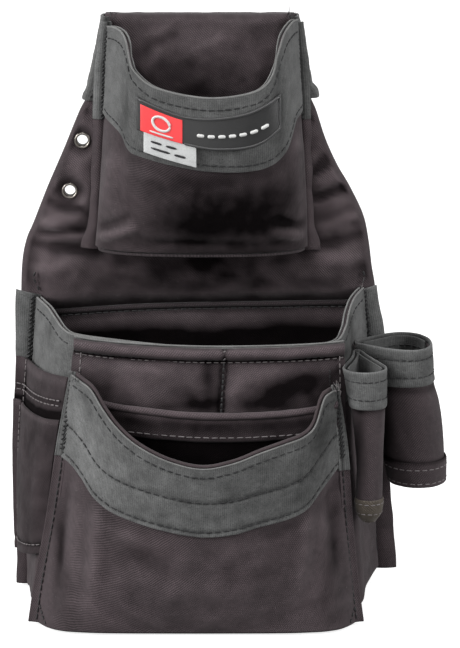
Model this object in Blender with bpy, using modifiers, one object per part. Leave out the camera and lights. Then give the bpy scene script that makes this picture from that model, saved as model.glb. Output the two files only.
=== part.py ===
"""Electrician tool pouch: padded back panel with a belt loop, an upper pocket over
a main pocket with layered fronts, two side pockets, two sleeves, a label and a tag.

Lengths are in millimetres in the pouch's own terms: x to the right, f forward
from the wall side, z up.  World y is REAR_FACE - f, so the rear face of the back
panel lies in the plane y = 0 and the pockets face -Y.

A surface is a function of (u, v), both 0 to 1, giving the middle of a cloth
panel.  Unless noted, u runs from left to right and v from top to bottom.
"""

import math

import bmesh
import bpy
from mathutils import Matrix, Vector

MM = 0.001
REAR_FACE = 8.0      # f of the back panel's rear face
CLOTH = 1.8          # pocket fabric with its lining
WEB = 1.4            # woven webbing
GAP = 0.45           # air between stacked layers
BAND_LAYER = CLOTH / 2 + GAP + WEB / 2    # from a pocket's middle to its webbing's

LEFT, RIGHT = -1, 1
SIDES = ((LEFT, "left"), (RIGHT, "right"))
FORWARD = Vector((0, 1, 0))               # in (x, f, z)
WORLD_ORIGIN = Vector((0, 0, 0))

for old in list(bpy.data.objects):
    bpy.data.objects.remove(old, do_unlink=True)

scene = bpy.context.scene
parts = bpy.data.collections.new("electrician_tool_pouch")
cutters = bpy.data.collections.new("cutters")
scene.collection.children.link(parts)
scene.collection.children.link(cutters)
cutters.hide_render = True


# ---------------------------------------------------------------- shape helpers
def world(x, f, z):
    return Vector((x, REAR_FACE - f, z)) * MM


def mix(a, b, t):
    return a + (b - a) * t


def ease(x, table):
    """A smooth curve through (x, value) rows, flat beyond both ends."""
    if x <= table[0][0]:
        return table[0][1]
    if x >= table[-1][0]:
        return table[-1][1]
    last = len(table) - 1
    i = next(k for k in range(last) if x <= table[k + 1][0])

    def slope(k):
        before, after = table[max(k - 1, 0)], table[min(k + 1, last)]
        return (after[1] - before[1]) / (after[0] - before[0])

    (x0, y0), (x1, y1) = table[i], table[i + 1]
    step = x1 - x0
    s = (x - x0) / step
    return ((1 + 2 * s) * (1 - s) ** 2 * y0 + s * (1 - s) ** 2 * step * slope(i)
            + s * s * (3 - 2 * s) * y1 + s * s * (s - 1) * step * slope(i + 1))


def from_middle(u):
    """0 on the centre line, 1 at either side."""
    return abs(2 * u - 1)


def share_down(top, bottom, z):
    """How far z lies on the way from top (0) to bottom (1)."""
    return (top - z) / (top - bottom)


def outline(edges, side, out=0.0):
    """One side's edge as a function of z, moved outwards by 'out'."""
    return lambda z: ease(z, edges[side]) + side * out


def between(edges, u, z):
    return mix(ease(z, edges[LEFT]), ease(z, edges[RIGHT]), u)


def offset(surface, u, v, distance, toward):
    """The point 'distance' beyond the surface, on the side of 'toward'."""
    e = 2e-3
    normal = (surface(u + e, v) - surface(u - e, v)).cross(surface(u, v + e) - surface(u, v - e))
    normal.normalize()
    if normal.dot(toward) < 0:
        normal.negate()
    return surface(u, v) + normal * distance


def cover(surface, u_span, v_span, distance, toward=FORWARD):
    """A surface lying over part of another one."""
    return lambda u, v: offset(surface, mix(*u_span, u), mix(*v_span, v), distance, toward)


def floor(rear_span, front_span, rear_f, front_f, z):
    """A level pocket floor, from the rear (v 0) to the front edge front_f(u)."""
    return lambda u, v: Vector((mix(mix(*rear_span, u), mix(*front_span, u), v),
                                mix(rear_f, front_f(u), v), z))


# ---------------------------------------------------------------- object helpers
def finish(name, bm, mat, origin=WORLD_ORIGIN, smooth=False):
    """Link the mesh, given in world metres, with its origin moved to 'origin'."""
    mesh = bpy.data.meshes.new(name)
    bm.to_mesh(mesh)
    bm.free()
    for poly in mesh.polygons:
        poly.use_smooth = smooth
    mesh.transform(Matrix.Translation(-origin))
    mesh.materials.append(mat)
    obj = bpy.data.objects.new(name, mesh)
    obj.location = origin
    parts.objects.link(obj)
    return obj


def thicken(obj, thick):
    """Give a surface its thickness, half to each side."""
    solid = obj.modifiers.new("thickness", "SOLIDIFY")
    solid.thickness = thick * MM
    solid.offset = 0.0
    return obj


def sheet(name, surface, grid, thick, mat, origin=WORLD_ORIGIN, smooth=True):
    """A cloth panel: a grid of (columns, rows) laid over the surface."""
    bm = bmesh.new()
    bmesh.ops.create_grid(bm, x_segments=grid[0], y_segments=grid[1], size=0.5)
    for vert in bm.verts:
        vert.co = world(*surface(vert.co.x + 0.5, vert.co.y + 0.5))
    return thicken(finish(name, bm, mat, origin, smooth), thick)


def plate(name, edges, z_span, rear_f, thick, rows, mat):
    """A flat panel between a left and a right edge, each a function of z."""
    left, right = edges

    def surface(u, v):
        z = mix(*z_span, v)
        return Vector((mix(left(z), right(z), u), rear_f + thick / 2, z))
    return sheet(name, surface, (1, rows), thick, mat, smooth=False)


def tube(name, sections, wall, mat, origin, sides):
    """An open sleeve through rings of (x, f, z, radius)."""
    count = len(sections)
    bm = bmesh.new()
    bmesh.ops.create_cone(bm, cap_ends=False, segments=sides, radius1=1, radius2=1, depth=1)
    lengthwise = [e for e in bm.edges if abs(e.verts[0].co.z - e.verts[1].co.z) > 0.5]
    bmesh.ops.subdivide_edges(bm, edges=lengthwise, cuts=count - 2, use_grid_fill=False)
    for vert in bm.verts:
        x, f, z, radius = sections[round((0.5 - vert.co.z) * (count - 1))]
        vert.co = world(x + radius * vert.co.x, f + radius * vert.co.y, z)
    bmesh.ops.recalc_face_normals(bm, faces=bm.faces)
    thicken(finish(name, bm, mat, origin, smooth=True), wall)


def ring(name, profile, x, z, mat):
    """A turned piece: a closed (radius, f) profile spun about the f axis."""
    bm = bmesh.new()
    verts = [bm.verts.new((radius * MM, 0, f * MM)) for radius, f in profile]
    for a, b in zip(verts, verts[1:] + verts[:1]):
        bm.edges.new((a, b))
    obj = finish(name, bm, mat)
    obj.location = world(x, 0, z)
    obj.rotation_euler = (math.pi / 2, 0, 0)
    turn = obj.modifiers.new("turn", "SCREW")
    turn.axis = "Z"
    turn.angle = 2 * math.pi
    turn.steps = turn.render_steps = 24
    turn.use_merge_vertices = True
    turn.merge_threshold = 0.00001
    turn.use_smooth_shade = True


def drill(objs, x, z, radius):
    """Cut a hole along f, with a cylinder that passes through all the objects."""
    middle_f, length = 12, 60
    bpy.ops.mesh.primitive_cylinder_add(
        vertices=24, radius=radius * MM, depth=length * MM,
        location=world(x, middle_f, z), rotation=(math.pi / 2, 0, 0))
    cutter = bpy.context.object
    cutter.name = f"cutter_hole_{abs(int(z))}"
    for coll in list(cutter.users_collection):
        coll.objects.unlink(cutter)
    cutters.objects.link(cutter)
    cutter.hide_render = True
    cutter.display_type = "WIRE"
    for obj in objs:
        cut = obj.modifiers.new("hole", "BOOLEAN")
        cut.operation = "DIFFERENCE"
        cut.solver = "EXACT"
        cut.object = cutter


# ---------------------------------------------------------------- materials
def material(name, rgb, roughness, metallic=0.0):
    mat = bpy.data.materials.new(name)
    mat.use_nodes = True
    bsdf = mat.node_tree.nodes["Principled BSDF"]
    bsdf.inputs["Base Color"].default_value = (*rgb, 1.0)
    bsdf.inputs["Roughness"].default_value = roughness
    bsdf.inputs["Metallic"].default_value = metallic
    mat.diffuse_color = (*rgb, 1.0)
    return mat


FABRIC = material("ballistic_fabric", rgb=(0.036, 0.028, 0.031), roughness=0.85)
FOAM = material("foam_padding", rgb=(0.12, 0.12, 0.12), roughness=0.95)
WEBBING = material("grey_webbing", rgb=(0.125, 0.127, 0.127), roughness=0.8)
BINDING = material("binding_tape", rgb=(0.02, 0.018, 0.02), roughness=0.75)
RUBBER = material("label_rubber", rgb=(0.05, 0.05, 0.052), roughness=0.45)
RED = material("label_red", rgb=(0.85, 0.09, 0.1), roughness=0.4)
WHITE = material("label_white", rgb=(0.88, 0.88, 0.88), roughness=0.4)
TAG = material("tag_cloth", rgb=(0.55, 0.56, 0.57), roughness=0.8)
NICKEL = material("eyelet_metal", rgb=(0.35, 0.32, 0.3), roughness=0.3, metallic=1.0)

# ---------------------------------------------------------------- back panel
BACK_EDGE = {        # rows of (z, x)
    LEFT: [(-288, -105.5), (-260, -104.5), (-150, -103), (-110, -102.5), (-91, -101),
           (-76, -97), (-50, -86.2), (-29, -77), (-3, -68), (22, -62), (46, -55)],
    RIGHT: [(-288, 110), (-275, 109), (-150, 103.5), (-108, 100), (-96, 98), (-67, 92.8),
            (-50, 84), (-23, 71.5), (2, 65), (25, 60.5), (46, 54)]}
# z of the rear fabric's rows; the row from -17.2 to 1.4 is clear of eyelets and wraps.
REAR_ROWS = [-287, -268, -249, -230, -211, -192, -173, -154, -135, -116, -98, -84, -70, -56,
             -42, -30, -17.2, 1.4, 20, 46]
BACK_CLOTH = 1.4
BACK_GAP = 0.4
FOAM_THICK = 3.8
FOAM_F = REAR_FACE + BACK_CLOTH + BACK_GAP
FRONT_FABRIC_F = FOAM_F + FOAM_THICK + BACK_GAP
PADDING_F = FRONT_FABRIC_F + BACK_CLOTH + BACK_GAP


def rear_fabric(u, v):
    z = REAR_ROWS[round(v * (len(REAR_ROWS) - 1))]
    return Vector((between(BACK_EDGE, u, z), REAR_FACE + BACK_CLOTH / 2, z))


def back_edges(inset):
    return outline(BACK_EDGE, LEFT, -inset), outline(BACK_EDGE, RIGHT, -inset)


back_layers = [
    sheet("back_panel_rear_fabric", rear_fabric, (1, len(REAR_ROWS) - 1), BACK_CLOTH, FABRIC,
          smooth=False),
    plate("back_panel_foam", back_edges(2.5), (-284, 43), FOAM_F, FOAM_THICK, 18, FOAM),
    plate("back_panel_front_fabric", back_edges(0), (-287, 46), FRONT_FABRIC_F, BACK_CLOTH,
          18, FABRIC),
    plate("back_upper_padding", back_edges(0.6), (-109.4, 45.5), PADDING_F, 2.4, 14, FABRIC)]
plate("back_lower_fold", (lambda z: -89, lambda z: 88), (-118.6, -109.9), PADDING_F, 2.6,
      1, FABRIC)

# Eyelets through all the back layers: (name, x, z), and profiles of (radius, f).
EYELETS = [("upper", -66.1, -23.3), ("lower", -73.5, -52.3)]
EYELET_HOLE_RADIUS = 4.0
BARREL = [(3.1, 6.0), (3.1, 20.0), (3.6, 20.6), (4.9, 20.3), (5.3, 19.4), (5.1, 18.6),
          (3.65, 18.6), (3.65, 6.0)]
WASHER = [(3.95, 6.4), (3.95, 7.6), (5.5, 7.6), (5.5, 6.4)]
for word, x, z in EYELETS:
    drill(back_layers, x, z, EYELET_HOLE_RADIUS)
    ring(f"eyelet_{word}_barrel", BARREL, x, z, NICKEL)
    ring(f"eyelet_{word}_washer", WASHER, x, z, NICKEL)

# ---------------------------------------------------------------- top edge and belt loop
WRAP_FRONT_F, WRAP_REAR_F = 19.3, 6.8
# (v, f): sewn down at the top, standing off to the rear, sewn down below.
BELT_LOOP_F = [(0, 3.6), (0.08, 1.4), (0.2, 0.9), (0.8, 0.9), (0.94, 3.0), (1, 6.8)]


def wrap(side):
    """Webbing folded round the back panel's edge: u runs from front to rear, v up."""
    def surface(u, v):
        z = mix(2.4, 45.0, v)
        outer = outline(BACK_EDGE, side, 1.2)(z)
        inner = outer - side * mix(12.5, 4.6, v)
        path = [(inner, WRAP_FRONT_F), (outer, WRAP_FRONT_F),
                (outer, WRAP_REAR_F), (inner, WRAP_REAR_F)]
        along = u * 3
        leg = min(int(along), 2)
        (x0, f0), (x1, f1) = path[leg], path[leg + 1]
        return Vector((mix(x0, x1, along - leg), mix(f0, f1, along - leg), z))
    return surface


def belt_loop(u, v):
    return Vector((mix(-46, 46, u), ease(v, BELT_LOOP_F), mix(52.2, -50, v)))


def top_fold(u, v):
    """The fold over the top edge, from front (v 0) to rear."""
    return Vector((mix(-52.5, 51.5, u), mix(17.6, 6.4, v), 47.9 + 2.6 * math.sin(math.pi * v)))


for side, word in SIDES:
    sheet(f"top_wrap_{word}", wrap(side), (6, 6), WEB, WEBBING)
sheet("belt_loop_panel", belt_loop, (4, 18), 1.8, FABRIC)
sheet("top_fold_binding", top_fold, (6, 8), 1.3, BINDING)
plate("belt_loop_stay", (lambda z: -45, lambda z: 45), (-62, -50.9), 5.9, 1.7, 2, WEBBING)

# ---------------------------------------------------------------- upper pocket
UPPER_BOTTOM = -80.5
UPPER_PIVOT = world(0, 40, UPPER_BOTTOM)
UPPER_MOUTH = 9.4          # z of the mouth's middle
UPPER_MOUTH_RISE = 28.5    # from there to its sides
UPPER_SEAM = {             # (z, x) along the back panel
    LEFT: [(-86, -58), (-20, -53.5), (45, -51)],
    RIGHT: [(-86, 59), (-20, 56.5), (45, 53.5)]}
UPPER_CREASE = {           # (v, x) of the front's sides
    LEFT: [(0, -37.5), (0.5, -42), (1, -52)],
    RIGHT: [(0, 45.0), (0.5, 48.5), (1, 53.5)]}
UPPER_SIDE_F = [(0, 48), (0.5, 45), (1, 31)]                  # (v, f)
UPPER_MIDDLE_F = [(0, 60), (0.5, 61), (0.85, 53), (1, 45)]    # (v, f)
UPPER_FLANGE_WIDTH = [(-86, 9.5), (-60, 6), (20, 5.5), (44.5, 3.0)]    # (z, width)
UPPER_BAND_LOW = [(0, -31.5), (0.6, -29), (1, -22)]           # (distance from middle, z)


def upper_mouth(u):
    return UPPER_MOUTH + UPPER_MOUTH_RISE * from_middle(u) ** 3.4


def upper_arch(u):
    return 1 - from_middle(u) ** 2.3


def upper_front(u, v):
    f = mix(ease(v, UPPER_SIDE_F), ease(v, UPPER_MIDDLE_F), upper_arch(u))
    return Vector((between(UPPER_CREASE, u, v), f, mix(upper_mouth(u), UPPER_BOTTOM, v)))


def upper_gusset(side):
    """u runs from the crease (0) to the seam on the back panel (1)."""
    def surface(u, v):
        crease = upper_front(0.0 if side < 0 else 1.0, v)
        z = mix(crease.z, mix(44.5, UPPER_BOTTOM, v), u)
        x = mix(crease.x + side * 1.2, ease(z, UPPER_SEAM[side]), u)
        fold = math.sin(math.pi * u) * 2.2 * (1 - v)
        return Vector((x - side * fold, mix(crease.y - 1.0, 23.5, u), z))
    return surface


def upper_band(u, v):
    mouth = upper_mouth(u)
    low = share_down(mouth, UPPER_BOTTOM, ease(from_middle(u), UPPER_BAND_LOW))
    return offset(upper_front, 0.01 + 0.98 * u, v * low, BAND_LAYER, FORWARD)


def upper_gusset_band(side):
    gusset = upper_gusset(side)
    return lambda u, v: offset(gusset, 0.1 + 0.82 * u, v * mix(0.5, 0.44, u), BAND_LAYER,
                               Vector((side, 0.3, 0)))


def upper_flange_edges(side):
    """Left and right edges; reversing the pair on the left keeps x ascending."""
    inner = outline(UPPER_SEAM, side, -1.0)

    def outer(z):
        return ease(z, UPPER_SEAM[side]) + side * ease(z, UPPER_FLANGE_WIDTH)
    return (inner, outer)[::side]


sheet("upper_pocket_front", upper_front, (16, 10), CLOTH, FABRIC, UPPER_PIVOT)
for side, word in SIDES:
    gusset = upper_gusset(side)
    sheet(f"upper_pocket_gusset_{word}", lambda u, v: gusset(0.02 + 0.98 * u, v), (4, 8),
          CLOTH, FABRIC)
    plate(f"upper_pocket_flange_{word}", upper_flange_edges(side), (-85.5, 44.5), 20.5, 1.5,
          10, FABRIC)
    sheet(f"upper_pocket_band_{word}", upper_gusset_band(side), (4, 5), WEB, WEBBING)
sheet("upper_pocket_floor",
      floor((-50, 51), (-46, 48), 19.8, lambda u: 30.5 + 14 * upper_arch(u), -82.6),
      (10, 3), 1.6, FABRIC)
sheet("upper_pocket_band", upper_band, (16, 5), WEB, WEBBING, UPPER_PIVOT)

# ---------------------------------------------------------------- label and tag
LABEL_LIFT = 1.0           # from the gap over the webbing to the label's middle
LABEL_LAYER = BAND_LAYER + WEB / 2 + GAP + LABEL_LIFT
LABEL_HEIGHT = 20.0
TAG_SPAN = (0.03, 0.36)    # share of the label's width
TAG_LENGTH = 11.0


def label_at(u, v, distance):
    """A point over the label's area, 'distance' in front of the pocket's middle."""
    across = mix(0.085, 0.935, u)
    top = 1.5 + 7.0 * from_middle(across) ** 2
    down = share_down(upper_mouth(across), UPPER_BOTTOM, top - LABEL_HEIGHT * v)
    return offset(upper_front, across, down, distance, FORWARD)


def label_part(u_span, v_span, lift):
    return lambda u, v: label_at(mix(*u_span, u), mix(*v_span, v), LABEL_LAYER + lift)


def tag_top(u):
    return label_at(mix(*TAG_SPAN, u), 1.0, LABEL_LAYER + 0.8) + Vector((0, 0.6, -1.2))


sheet("label_patch", label_part((0, 1), (0, 1), 0), (14, 4), 1.8, RUBBER, UPPER_PIVOT)
sheet("label_field", label_part((0.06, 0.36), (0.1, 0.9), 1.9), (5, 4), 0.9, RED, UPPER_PIVOT)
sheet("label_emblem", label_part((0.15, 0.27), (0.3, 0.7), 3.2), (3, 3), 0.8, WHITE,
      UPPER_PIVOT)
sheet("side_tag", lambda u, v: tag_top(u) + Vector((0, 0.4, -TAG_LENGTH)) * v, (4, 2), 0.7,
      TAG, world(*((tag_top(0) + tag_top(1)) / 2)))

# ---------------------------------------------------------------- main pocket
MAIN_BOTTOM = -282.0
MAIN_MOUTH = -136.0        # z of the mouth's middle
MAIN_MOUTH_SIDE = -117.0   # z of the mouth at the creases
MAIN_PIVOT = world(0, 66, MAIN_BOTTOM)
MAIN_CREASE = {            # (z, x) of the front's sides
    LEFT: [(-285, -95), (-262, -91), (-230, -86), (-184, -80), (-117, -75)],
    RIGHT: [(-285, 92.5), (-262, 89), (-230, 86), (-184, 82), (-117, 77.5)]}
MAIN_SEAM = {              # (z, x) along the back panel
    LEFT: [(-285, -101), (-259, -100.5), (-150, -97.4), (-112, -93.6)],
    RIGHT: [(-285, 104), (-259, 102), (-150, 95.5), (-110, 93.0)]}
MAIN_SIDE_F = [(-282, 66), (-200, 64), (-117, 57)]    # (z, f) of the creases
GUSSET_BULGE = {LEFT: 1.5, RIGHT: 0.4}


def main_mouth(u):
    return MAIN_MOUTH + (MAIN_MOUTH_SIDE - MAIN_MOUTH) * from_middle(u) ** 4


def main_bulge(u):
    return 6.5 * (1 - from_middle(u) ** 2.6)


def main_front(u, v):
    z = mix(main_mouth(u), MAIN_BOTTOM, v)
    return Vector((between(MAIN_CREASE, u, z), ease(z, MAIN_SIDE_F) + main_bulge(u), z))


def main_gusset(side):
    """u runs from the crease (0) to the seam on the back panel (1)."""
    def surface(u, v):
        crease_z = mix(MAIN_MOUTH_SIDE, MAIN_BOTTOM, v)
        z = mix(crease_z, mix(-111.5, MAIN_BOTTOM, v), u)
        crease_f = ease(crease_z, MAIN_SIDE_F)
        x = mix(outline(MAIN_CREASE, side, 1.4)(z), ease(z, MAIN_SEAM[side]), u)
        bulge = math.sin(math.pi * u) * GUSSET_BULGE[side]
        return Vector((x + side * bulge * 0.8, mix(crease_f - 0.6, 18.8, u) + bulge * 0.4, z))
    return surface


def gusset_outward(side):
    return Vector((side, 0.4, 0))


sheet("main_pocket_front", main_front, (14, 8), CLOTH, FABRIC, MAIN_PIVOT)
for side, word in SIDES:
    gusset = main_gusset(side)
    sheet(f"main_pocket_gusset_{word}", lambda u, v: gusset(0.025 + 0.945 * u, v), (6, 8),
          CLOTH, FABRIC)
    sheet(f"main_pocket_band_{word}",
          cover(gusset, (0.05, 0.89), (0, 0.2), BAND_LAYER, gusset_outward(side)),
          (6, 2), WEB, WEBBING)
    edges = (outline(MAIN_SEAM, side, -0.5), outline(BACK_EDGE, side, 1.5))[::side]
    plate(f"main_side_flange_{word}", edges, (-286, -152.2), 15.9, 1.5, 8, FABRIC)
    plate(f"main_side_tape_{word}", edges, (-151.4, -110), 15.9, 1.5, 3, WEBBING)
sheet("main_pocket_rim_band", cover(main_front, (0.015, 0.985), (0.002, 0.24), BAND_LAYER),
      (14, 3), WEB, WEBBING, MAIN_PIVOT)
sheet("main_pocket_floor",
      floor((-99, 102), (-92, 90), 17.2, lambda u: 63 + main_bulge(u), -284.4),
      (10, 3), 2.0, FABRIC)


# ---------------------------------------------------------------- layers on the main front
def over_main(u, z, distance):
    """A point in front of the main pocket's front, at height z."""
    down = share_down(main_mouth(u), MAIN_BOTTOM, z)
    return offset(main_front, u, down, distance, FORWARD)


def middle_pocket(u, v):
    across = mix(0.052, 0.948, u)
    top = -133.5 + 6.0 * from_middle(across) ** 4
    return over_main(across, mix(top, -232.0, v), mix(8.3, 4.2, min(1, v * 1.2)))


def third_pocket(u, v):
    top = -165.5 + 7.5 * from_middle(u) ** 2.2
    return over_main(mix(0.17, 0.90, u), mix(top, -234.0, v), mix(13.2, 7.6, v))


sheet("middle_pocket", middle_pocket, (14, 5), CLOTH, FABRIC, MAIN_PIVOT)
sheet("middle_pocket_hem",
      cover(middle_pocket, (0.01, 0.99), (0.004, 0.075), BAND_LAYER - 0.1),
      (14, 1), 1.2, BINDING, MAIN_PIVOT)
sheet("third_pocket", third_pocket, (12, 4), CLOTH, FABRIC, MAIN_PIVOT)

# ---------------------------------------------------------------- front pocket
FRONT_BOTTOM = -281.5
FRONT_PIVOT = world(0, 96, FRONT_BOTTOM)
FRONT_SEAM = {             # (z, x)
    LEFT: [(-285, -90.5), (-262, -87), (-230, -81.5), (-184, -74), (-146, -70)],
    RIGHT: [(-285, 87), (-262, 84), (-230, 81), (-184, 77.5), (-150, 74.5)]}
FRONT_SIDE_F = [(-282, 76.5), (-200, 75.5), (-146, 73.5)]    # (z, f)
FRONT_MIDDLE_F = [(0, 100.5), (0.5, 104), (1, 101.5)]        # (v, f)
# Mouth and lower edge of the webbing: (-1 left to 1 right, z).
FRONT_MOUTH = [(-1, -146), (-0.9, -148.5), (-0.776, -156), (-0.63, -168.5), (-0.46, -179.5),
               (-0.2, -188.5), (0, -190.5), (0.2, -188.5), (0.45, -181), (0.66, -175),
               (0.8, -164), (0.9, -154.5), (1, -151)]
FRONT_BAND_LOW = [(-1, -188.5), (-0.85, -199), (-0.7, -210), (-0.45, -222), (0, -229),
                  (0.4, -223), (0.7, -211), (0.86, -200), (1, -190.5)]
FLANGE_TOP = {LEFT: -150.0, RIGHT: -153.0}
FLANGE_WIDTH = [(-281, 7.0), (-184, 6.2), (-146, 3.0)]       # (z, width)
FLANGE_WIDTH_SCALE = {LEFT: 1.0, RIGHT: 0.85}
ROLL_RADIUS = 1.5
ROLL_POINTS = 27
ROLL_RISE = 2.4            # from the mouth up to the roll's centre


def front_arch(u):
    return 1 - from_middle(u) ** 2.8


def front_pocket(u, v):
    z = mix(ease(2 * u - 1, FRONT_MOUTH), FRONT_BOTTOM, v)
    f = mix(ease(z, FRONT_SIDE_F), ease(v, FRONT_MIDDLE_F), front_arch(u))
    return Vector((between(FRONT_SEAM, u, z), f, z))


def front_band(u, v):
    across = 0.02 + 0.96 * u
    t = 2 * across - 1
    low = share_down(ease(t, FRONT_MOUTH), FRONT_BOTTOM, ease(t, FRONT_BAND_LOW))
    return offset(front_pocket, across, mix(0.03, low, v), BAND_LAYER, FORWARD)


def rolled_edge():
    """The rolled tape along the front pocket's mouth, standing just above it."""
    name = "front_pocket_rolled_edge"
    curve = bpy.data.curves.new(name, "CURVE")
    curve.dimensions = "3D"
    curve.bevel_depth = ROLL_RADIUS * MM
    curve.bevel_resolution = 1
    curve.use_fill_caps = True
    spline = curve.splines.new("POLY")
    spline.points.add(ROLL_POINTS - 1)
    for i, point in enumerate(spline.points):
        x, f, z = front_pocket(mix(0.02, 0.98, i / (ROLL_POINTS - 1)), 0.0)
        point.co = (*(world(x, f, z + ROLL_RISE) - FRONT_PIVOT), 1)
    curve.materials.append(BINDING)
    obj = bpy.data.objects.new(name, curve)
    obj.location = FRONT_PIVOT
    parts.objects.link(obj)


def front_flange(side):
    """u runs outwards from the front pocket's seam."""
    def surface(u, v):
        z = mix(FLANGE_TOP[side], -281.0, v)
        width = ease(z, FLANGE_WIDTH) * FLANGE_WIDTH_SCALE[side]
        x = ease(z, FRONT_SEAM[side]) + side * (0.6 + width * u)
        return Vector((x, ease(z, MAIN_SIDE_F) + mix(6.6, 4.8, u), z))
    return surface


sheet("front_pocket_face", front_pocket, (22, 8), CLOTH, FABRIC, FRONT_PIVOT)
sheet("front_pocket_band", front_band, (22, 4), WEB, WEBBING, FRONT_PIVOT)
rolled_edge()
for side, word in SIDES:
    sheet(f"front_pocket_flange_{word}", front_flange(side), (2, 8), 1.4, FABRIC, MAIN_PIVOT)
sheet("front_pocket_floor",
      floor((-88, 85), (-84, 81), 74.5, lambda u: 74.2 + 25.5 * front_arch(u), -284.0),
      (12, 2), 1.8, FABRIC, MAIN_PIVOT)

# ---------------------------------------------------------------- side pockets
SIDE_POCKET_PUSH = [(0, 0.0), (0.5, 2.4), (1, 3.4)]    # (u, extra distance)
SIDE_POCKET_MIN_F = 20.0


def side_pocket(top_rear, top_front, bottom, distance):
    """A layer on the left gusset; u runs from front to rear."""
    gusset = main_gusset(LEFT)

    def surface(u, v):
        z = mix(mix(top_front, top_rear, u), bottom, v)
        push = ease(u, SIDE_POCKET_PUSH) * (0.55 + 0.45 * (1 - v))
        x, f, z = offset(gusset, mix(0.07, 0.93, u), share_down(MAIN_MOUTH_SIDE, MAIN_BOTTOM, z),
                         distance + push, gusset_outward(LEFT))
        return Vector((x, max(f, SIDE_POCKET_MIN_F), z))
    return surface


sheet("side_pocket_inner", side_pocket(-148, -153, -253, 3.4), (5, 5), 1.4, FABRIC)
sheet("side_pocket_outer", side_pocket(-174, -172, -262, 5.6), (5, 5), 1.6, FABRIC)

# ---------------------------------------------------------------- sleeves
LARGE_PIVOT = world(105.0, 27.5, -175)
SMALL_PIVOT = world(84.5, 66.0, -151)
SMALL_X = [(-230, 96.5), (-214, 95.4), (-195, 94.9), (-165, 94.0), (-146, 92.6)]    # (z, x)
SMALL_RADIUS = [(-230, 5.6), (-222, 6.2), (-214, 6.6), (-195, 7.3), (-165, 9.6),
                (-146, 11.6)]                                                       # (z, radius)


def large_ring(z, grow=0.0):
    down = share_down(-136.0, -215.0, z)
    return 113.6 + 10.6 * down, 40.5, z, mix(19.3, 15.4, min(max(down, 0), 1)) + grow


def small_ring(z, grow=0.0):
    return ease(z, SMALL_X), 70.4, z, ease(z, SMALL_RADIUS) + grow


def large_web(u, v):
    """The fin between the back panel's edge and the large sleeve's rear left."""
    x, f, z, radius = large_ring(mix(-159.5, -200.0, v))
    reach = (radius + 3.0) * 0.7071
    return Vector((mix(outline(BACK_EDGE, RIGHT, -0.4)(z), x - reach, u),
                   mix(18.2, f - reach, u), z))


# Rows of (part, z of the rings, growth in radius, wall, material).
LARGE_TUBES = [("tube", (-133.5, -150, -170, -190, -213.5), 0.0, 1.6, FABRIC),
               ("band", (-134.0, -145.0, -156.5), 2.0, WEB, WEBBING),
               ("hem", (-203.5, -214.5), 1.8, 1.2, FABRIC)]
SMALL_TUBES = [("tube", (-146, -156, -166, -180, -195, -212, -229), 0.0, 1.4, FABRIC),
               ("band", (-146.6, -156, -167.5), 1.8, 1.2, WEBBING),
               ("hem", (-213.0, -221, -229.6), 1.6, 1.0, FABRIC)]

for part, heights, grow, wall, mat in LARGE_TUBES:
    tube(f"large_sleeve_{part}", [large_ring(z, grow) for z in heights], wall, mat,
         LARGE_PIVOT, sides=24)
sheet("large_sleeve_seam_web", large_web, (2, 4), 1.3, FABRIC)
for part, heights, grow, wall, mat in SMALL_TUBES:
    tube(f"small_sleeve_{part}", [small_ring(z, grow) for z in heights], wall, mat,
         SMALL_PIVOT, sides=18)
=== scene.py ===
"""An electrician's tool pouch: a padded back panel that carries an upper pocket with a label,
a main pocket with flat pockets on its front and left side, a front pocket, and two tube
sleeves at the right.

Lengths are in millimetres: x to the right, depth forward from the wall side, z up.  World y
is (8 - depth) mm, so the pouch faces -Y.  Points are (x, depth, z).  A surface is a function
of (across, down), each 0..1, across from left to right and down from the rim unless its
comment says otherwise.
A bump (mm) and a tone (painted shade below 0, painted light above) are functions of (across, down,
point).
"""
import math

import bmesh
import bpy
import numpy as np
from mathutils import Matrix, Vector, noise

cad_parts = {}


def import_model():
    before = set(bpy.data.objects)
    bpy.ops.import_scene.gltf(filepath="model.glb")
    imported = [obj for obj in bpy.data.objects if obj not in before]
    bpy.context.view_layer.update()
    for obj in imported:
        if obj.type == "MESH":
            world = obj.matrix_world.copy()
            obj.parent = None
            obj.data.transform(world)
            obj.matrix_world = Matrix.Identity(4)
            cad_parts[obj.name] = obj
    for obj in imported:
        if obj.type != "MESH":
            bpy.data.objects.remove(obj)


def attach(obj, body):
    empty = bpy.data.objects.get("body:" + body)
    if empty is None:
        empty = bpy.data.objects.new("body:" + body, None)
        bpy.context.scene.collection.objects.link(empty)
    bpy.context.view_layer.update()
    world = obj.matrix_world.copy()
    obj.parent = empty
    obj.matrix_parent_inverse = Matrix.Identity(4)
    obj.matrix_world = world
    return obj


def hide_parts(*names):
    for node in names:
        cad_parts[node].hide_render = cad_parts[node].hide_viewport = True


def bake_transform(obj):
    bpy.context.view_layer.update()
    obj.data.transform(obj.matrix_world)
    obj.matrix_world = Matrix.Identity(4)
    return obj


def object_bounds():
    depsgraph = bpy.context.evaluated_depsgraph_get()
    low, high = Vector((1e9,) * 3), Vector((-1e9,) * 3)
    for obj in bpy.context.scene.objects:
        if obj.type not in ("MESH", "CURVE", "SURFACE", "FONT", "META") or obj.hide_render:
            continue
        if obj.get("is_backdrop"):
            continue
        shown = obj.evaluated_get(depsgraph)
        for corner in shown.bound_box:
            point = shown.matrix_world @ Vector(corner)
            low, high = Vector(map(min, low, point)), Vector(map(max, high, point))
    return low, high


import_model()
CAD_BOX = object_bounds()
MM = 0.001

FRONT = Vector((0, 1, 0))
REAR = Vector((0, -1, 0))
BELOW = Vector((0, 0, -1))


# ------------------------------------------------------------------ numbers and curves
def mix(start, end, fraction):
    return start + (end - start) * fraction


def clamp(x, low=0.0, high=1.0):
    return low if x < low else high if x > high else x


def smooth(x, low=0.0, high=1.0):
    t = clamp((x - low) / (high - low))
    return t * t * (3 - 2 * t)


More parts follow.
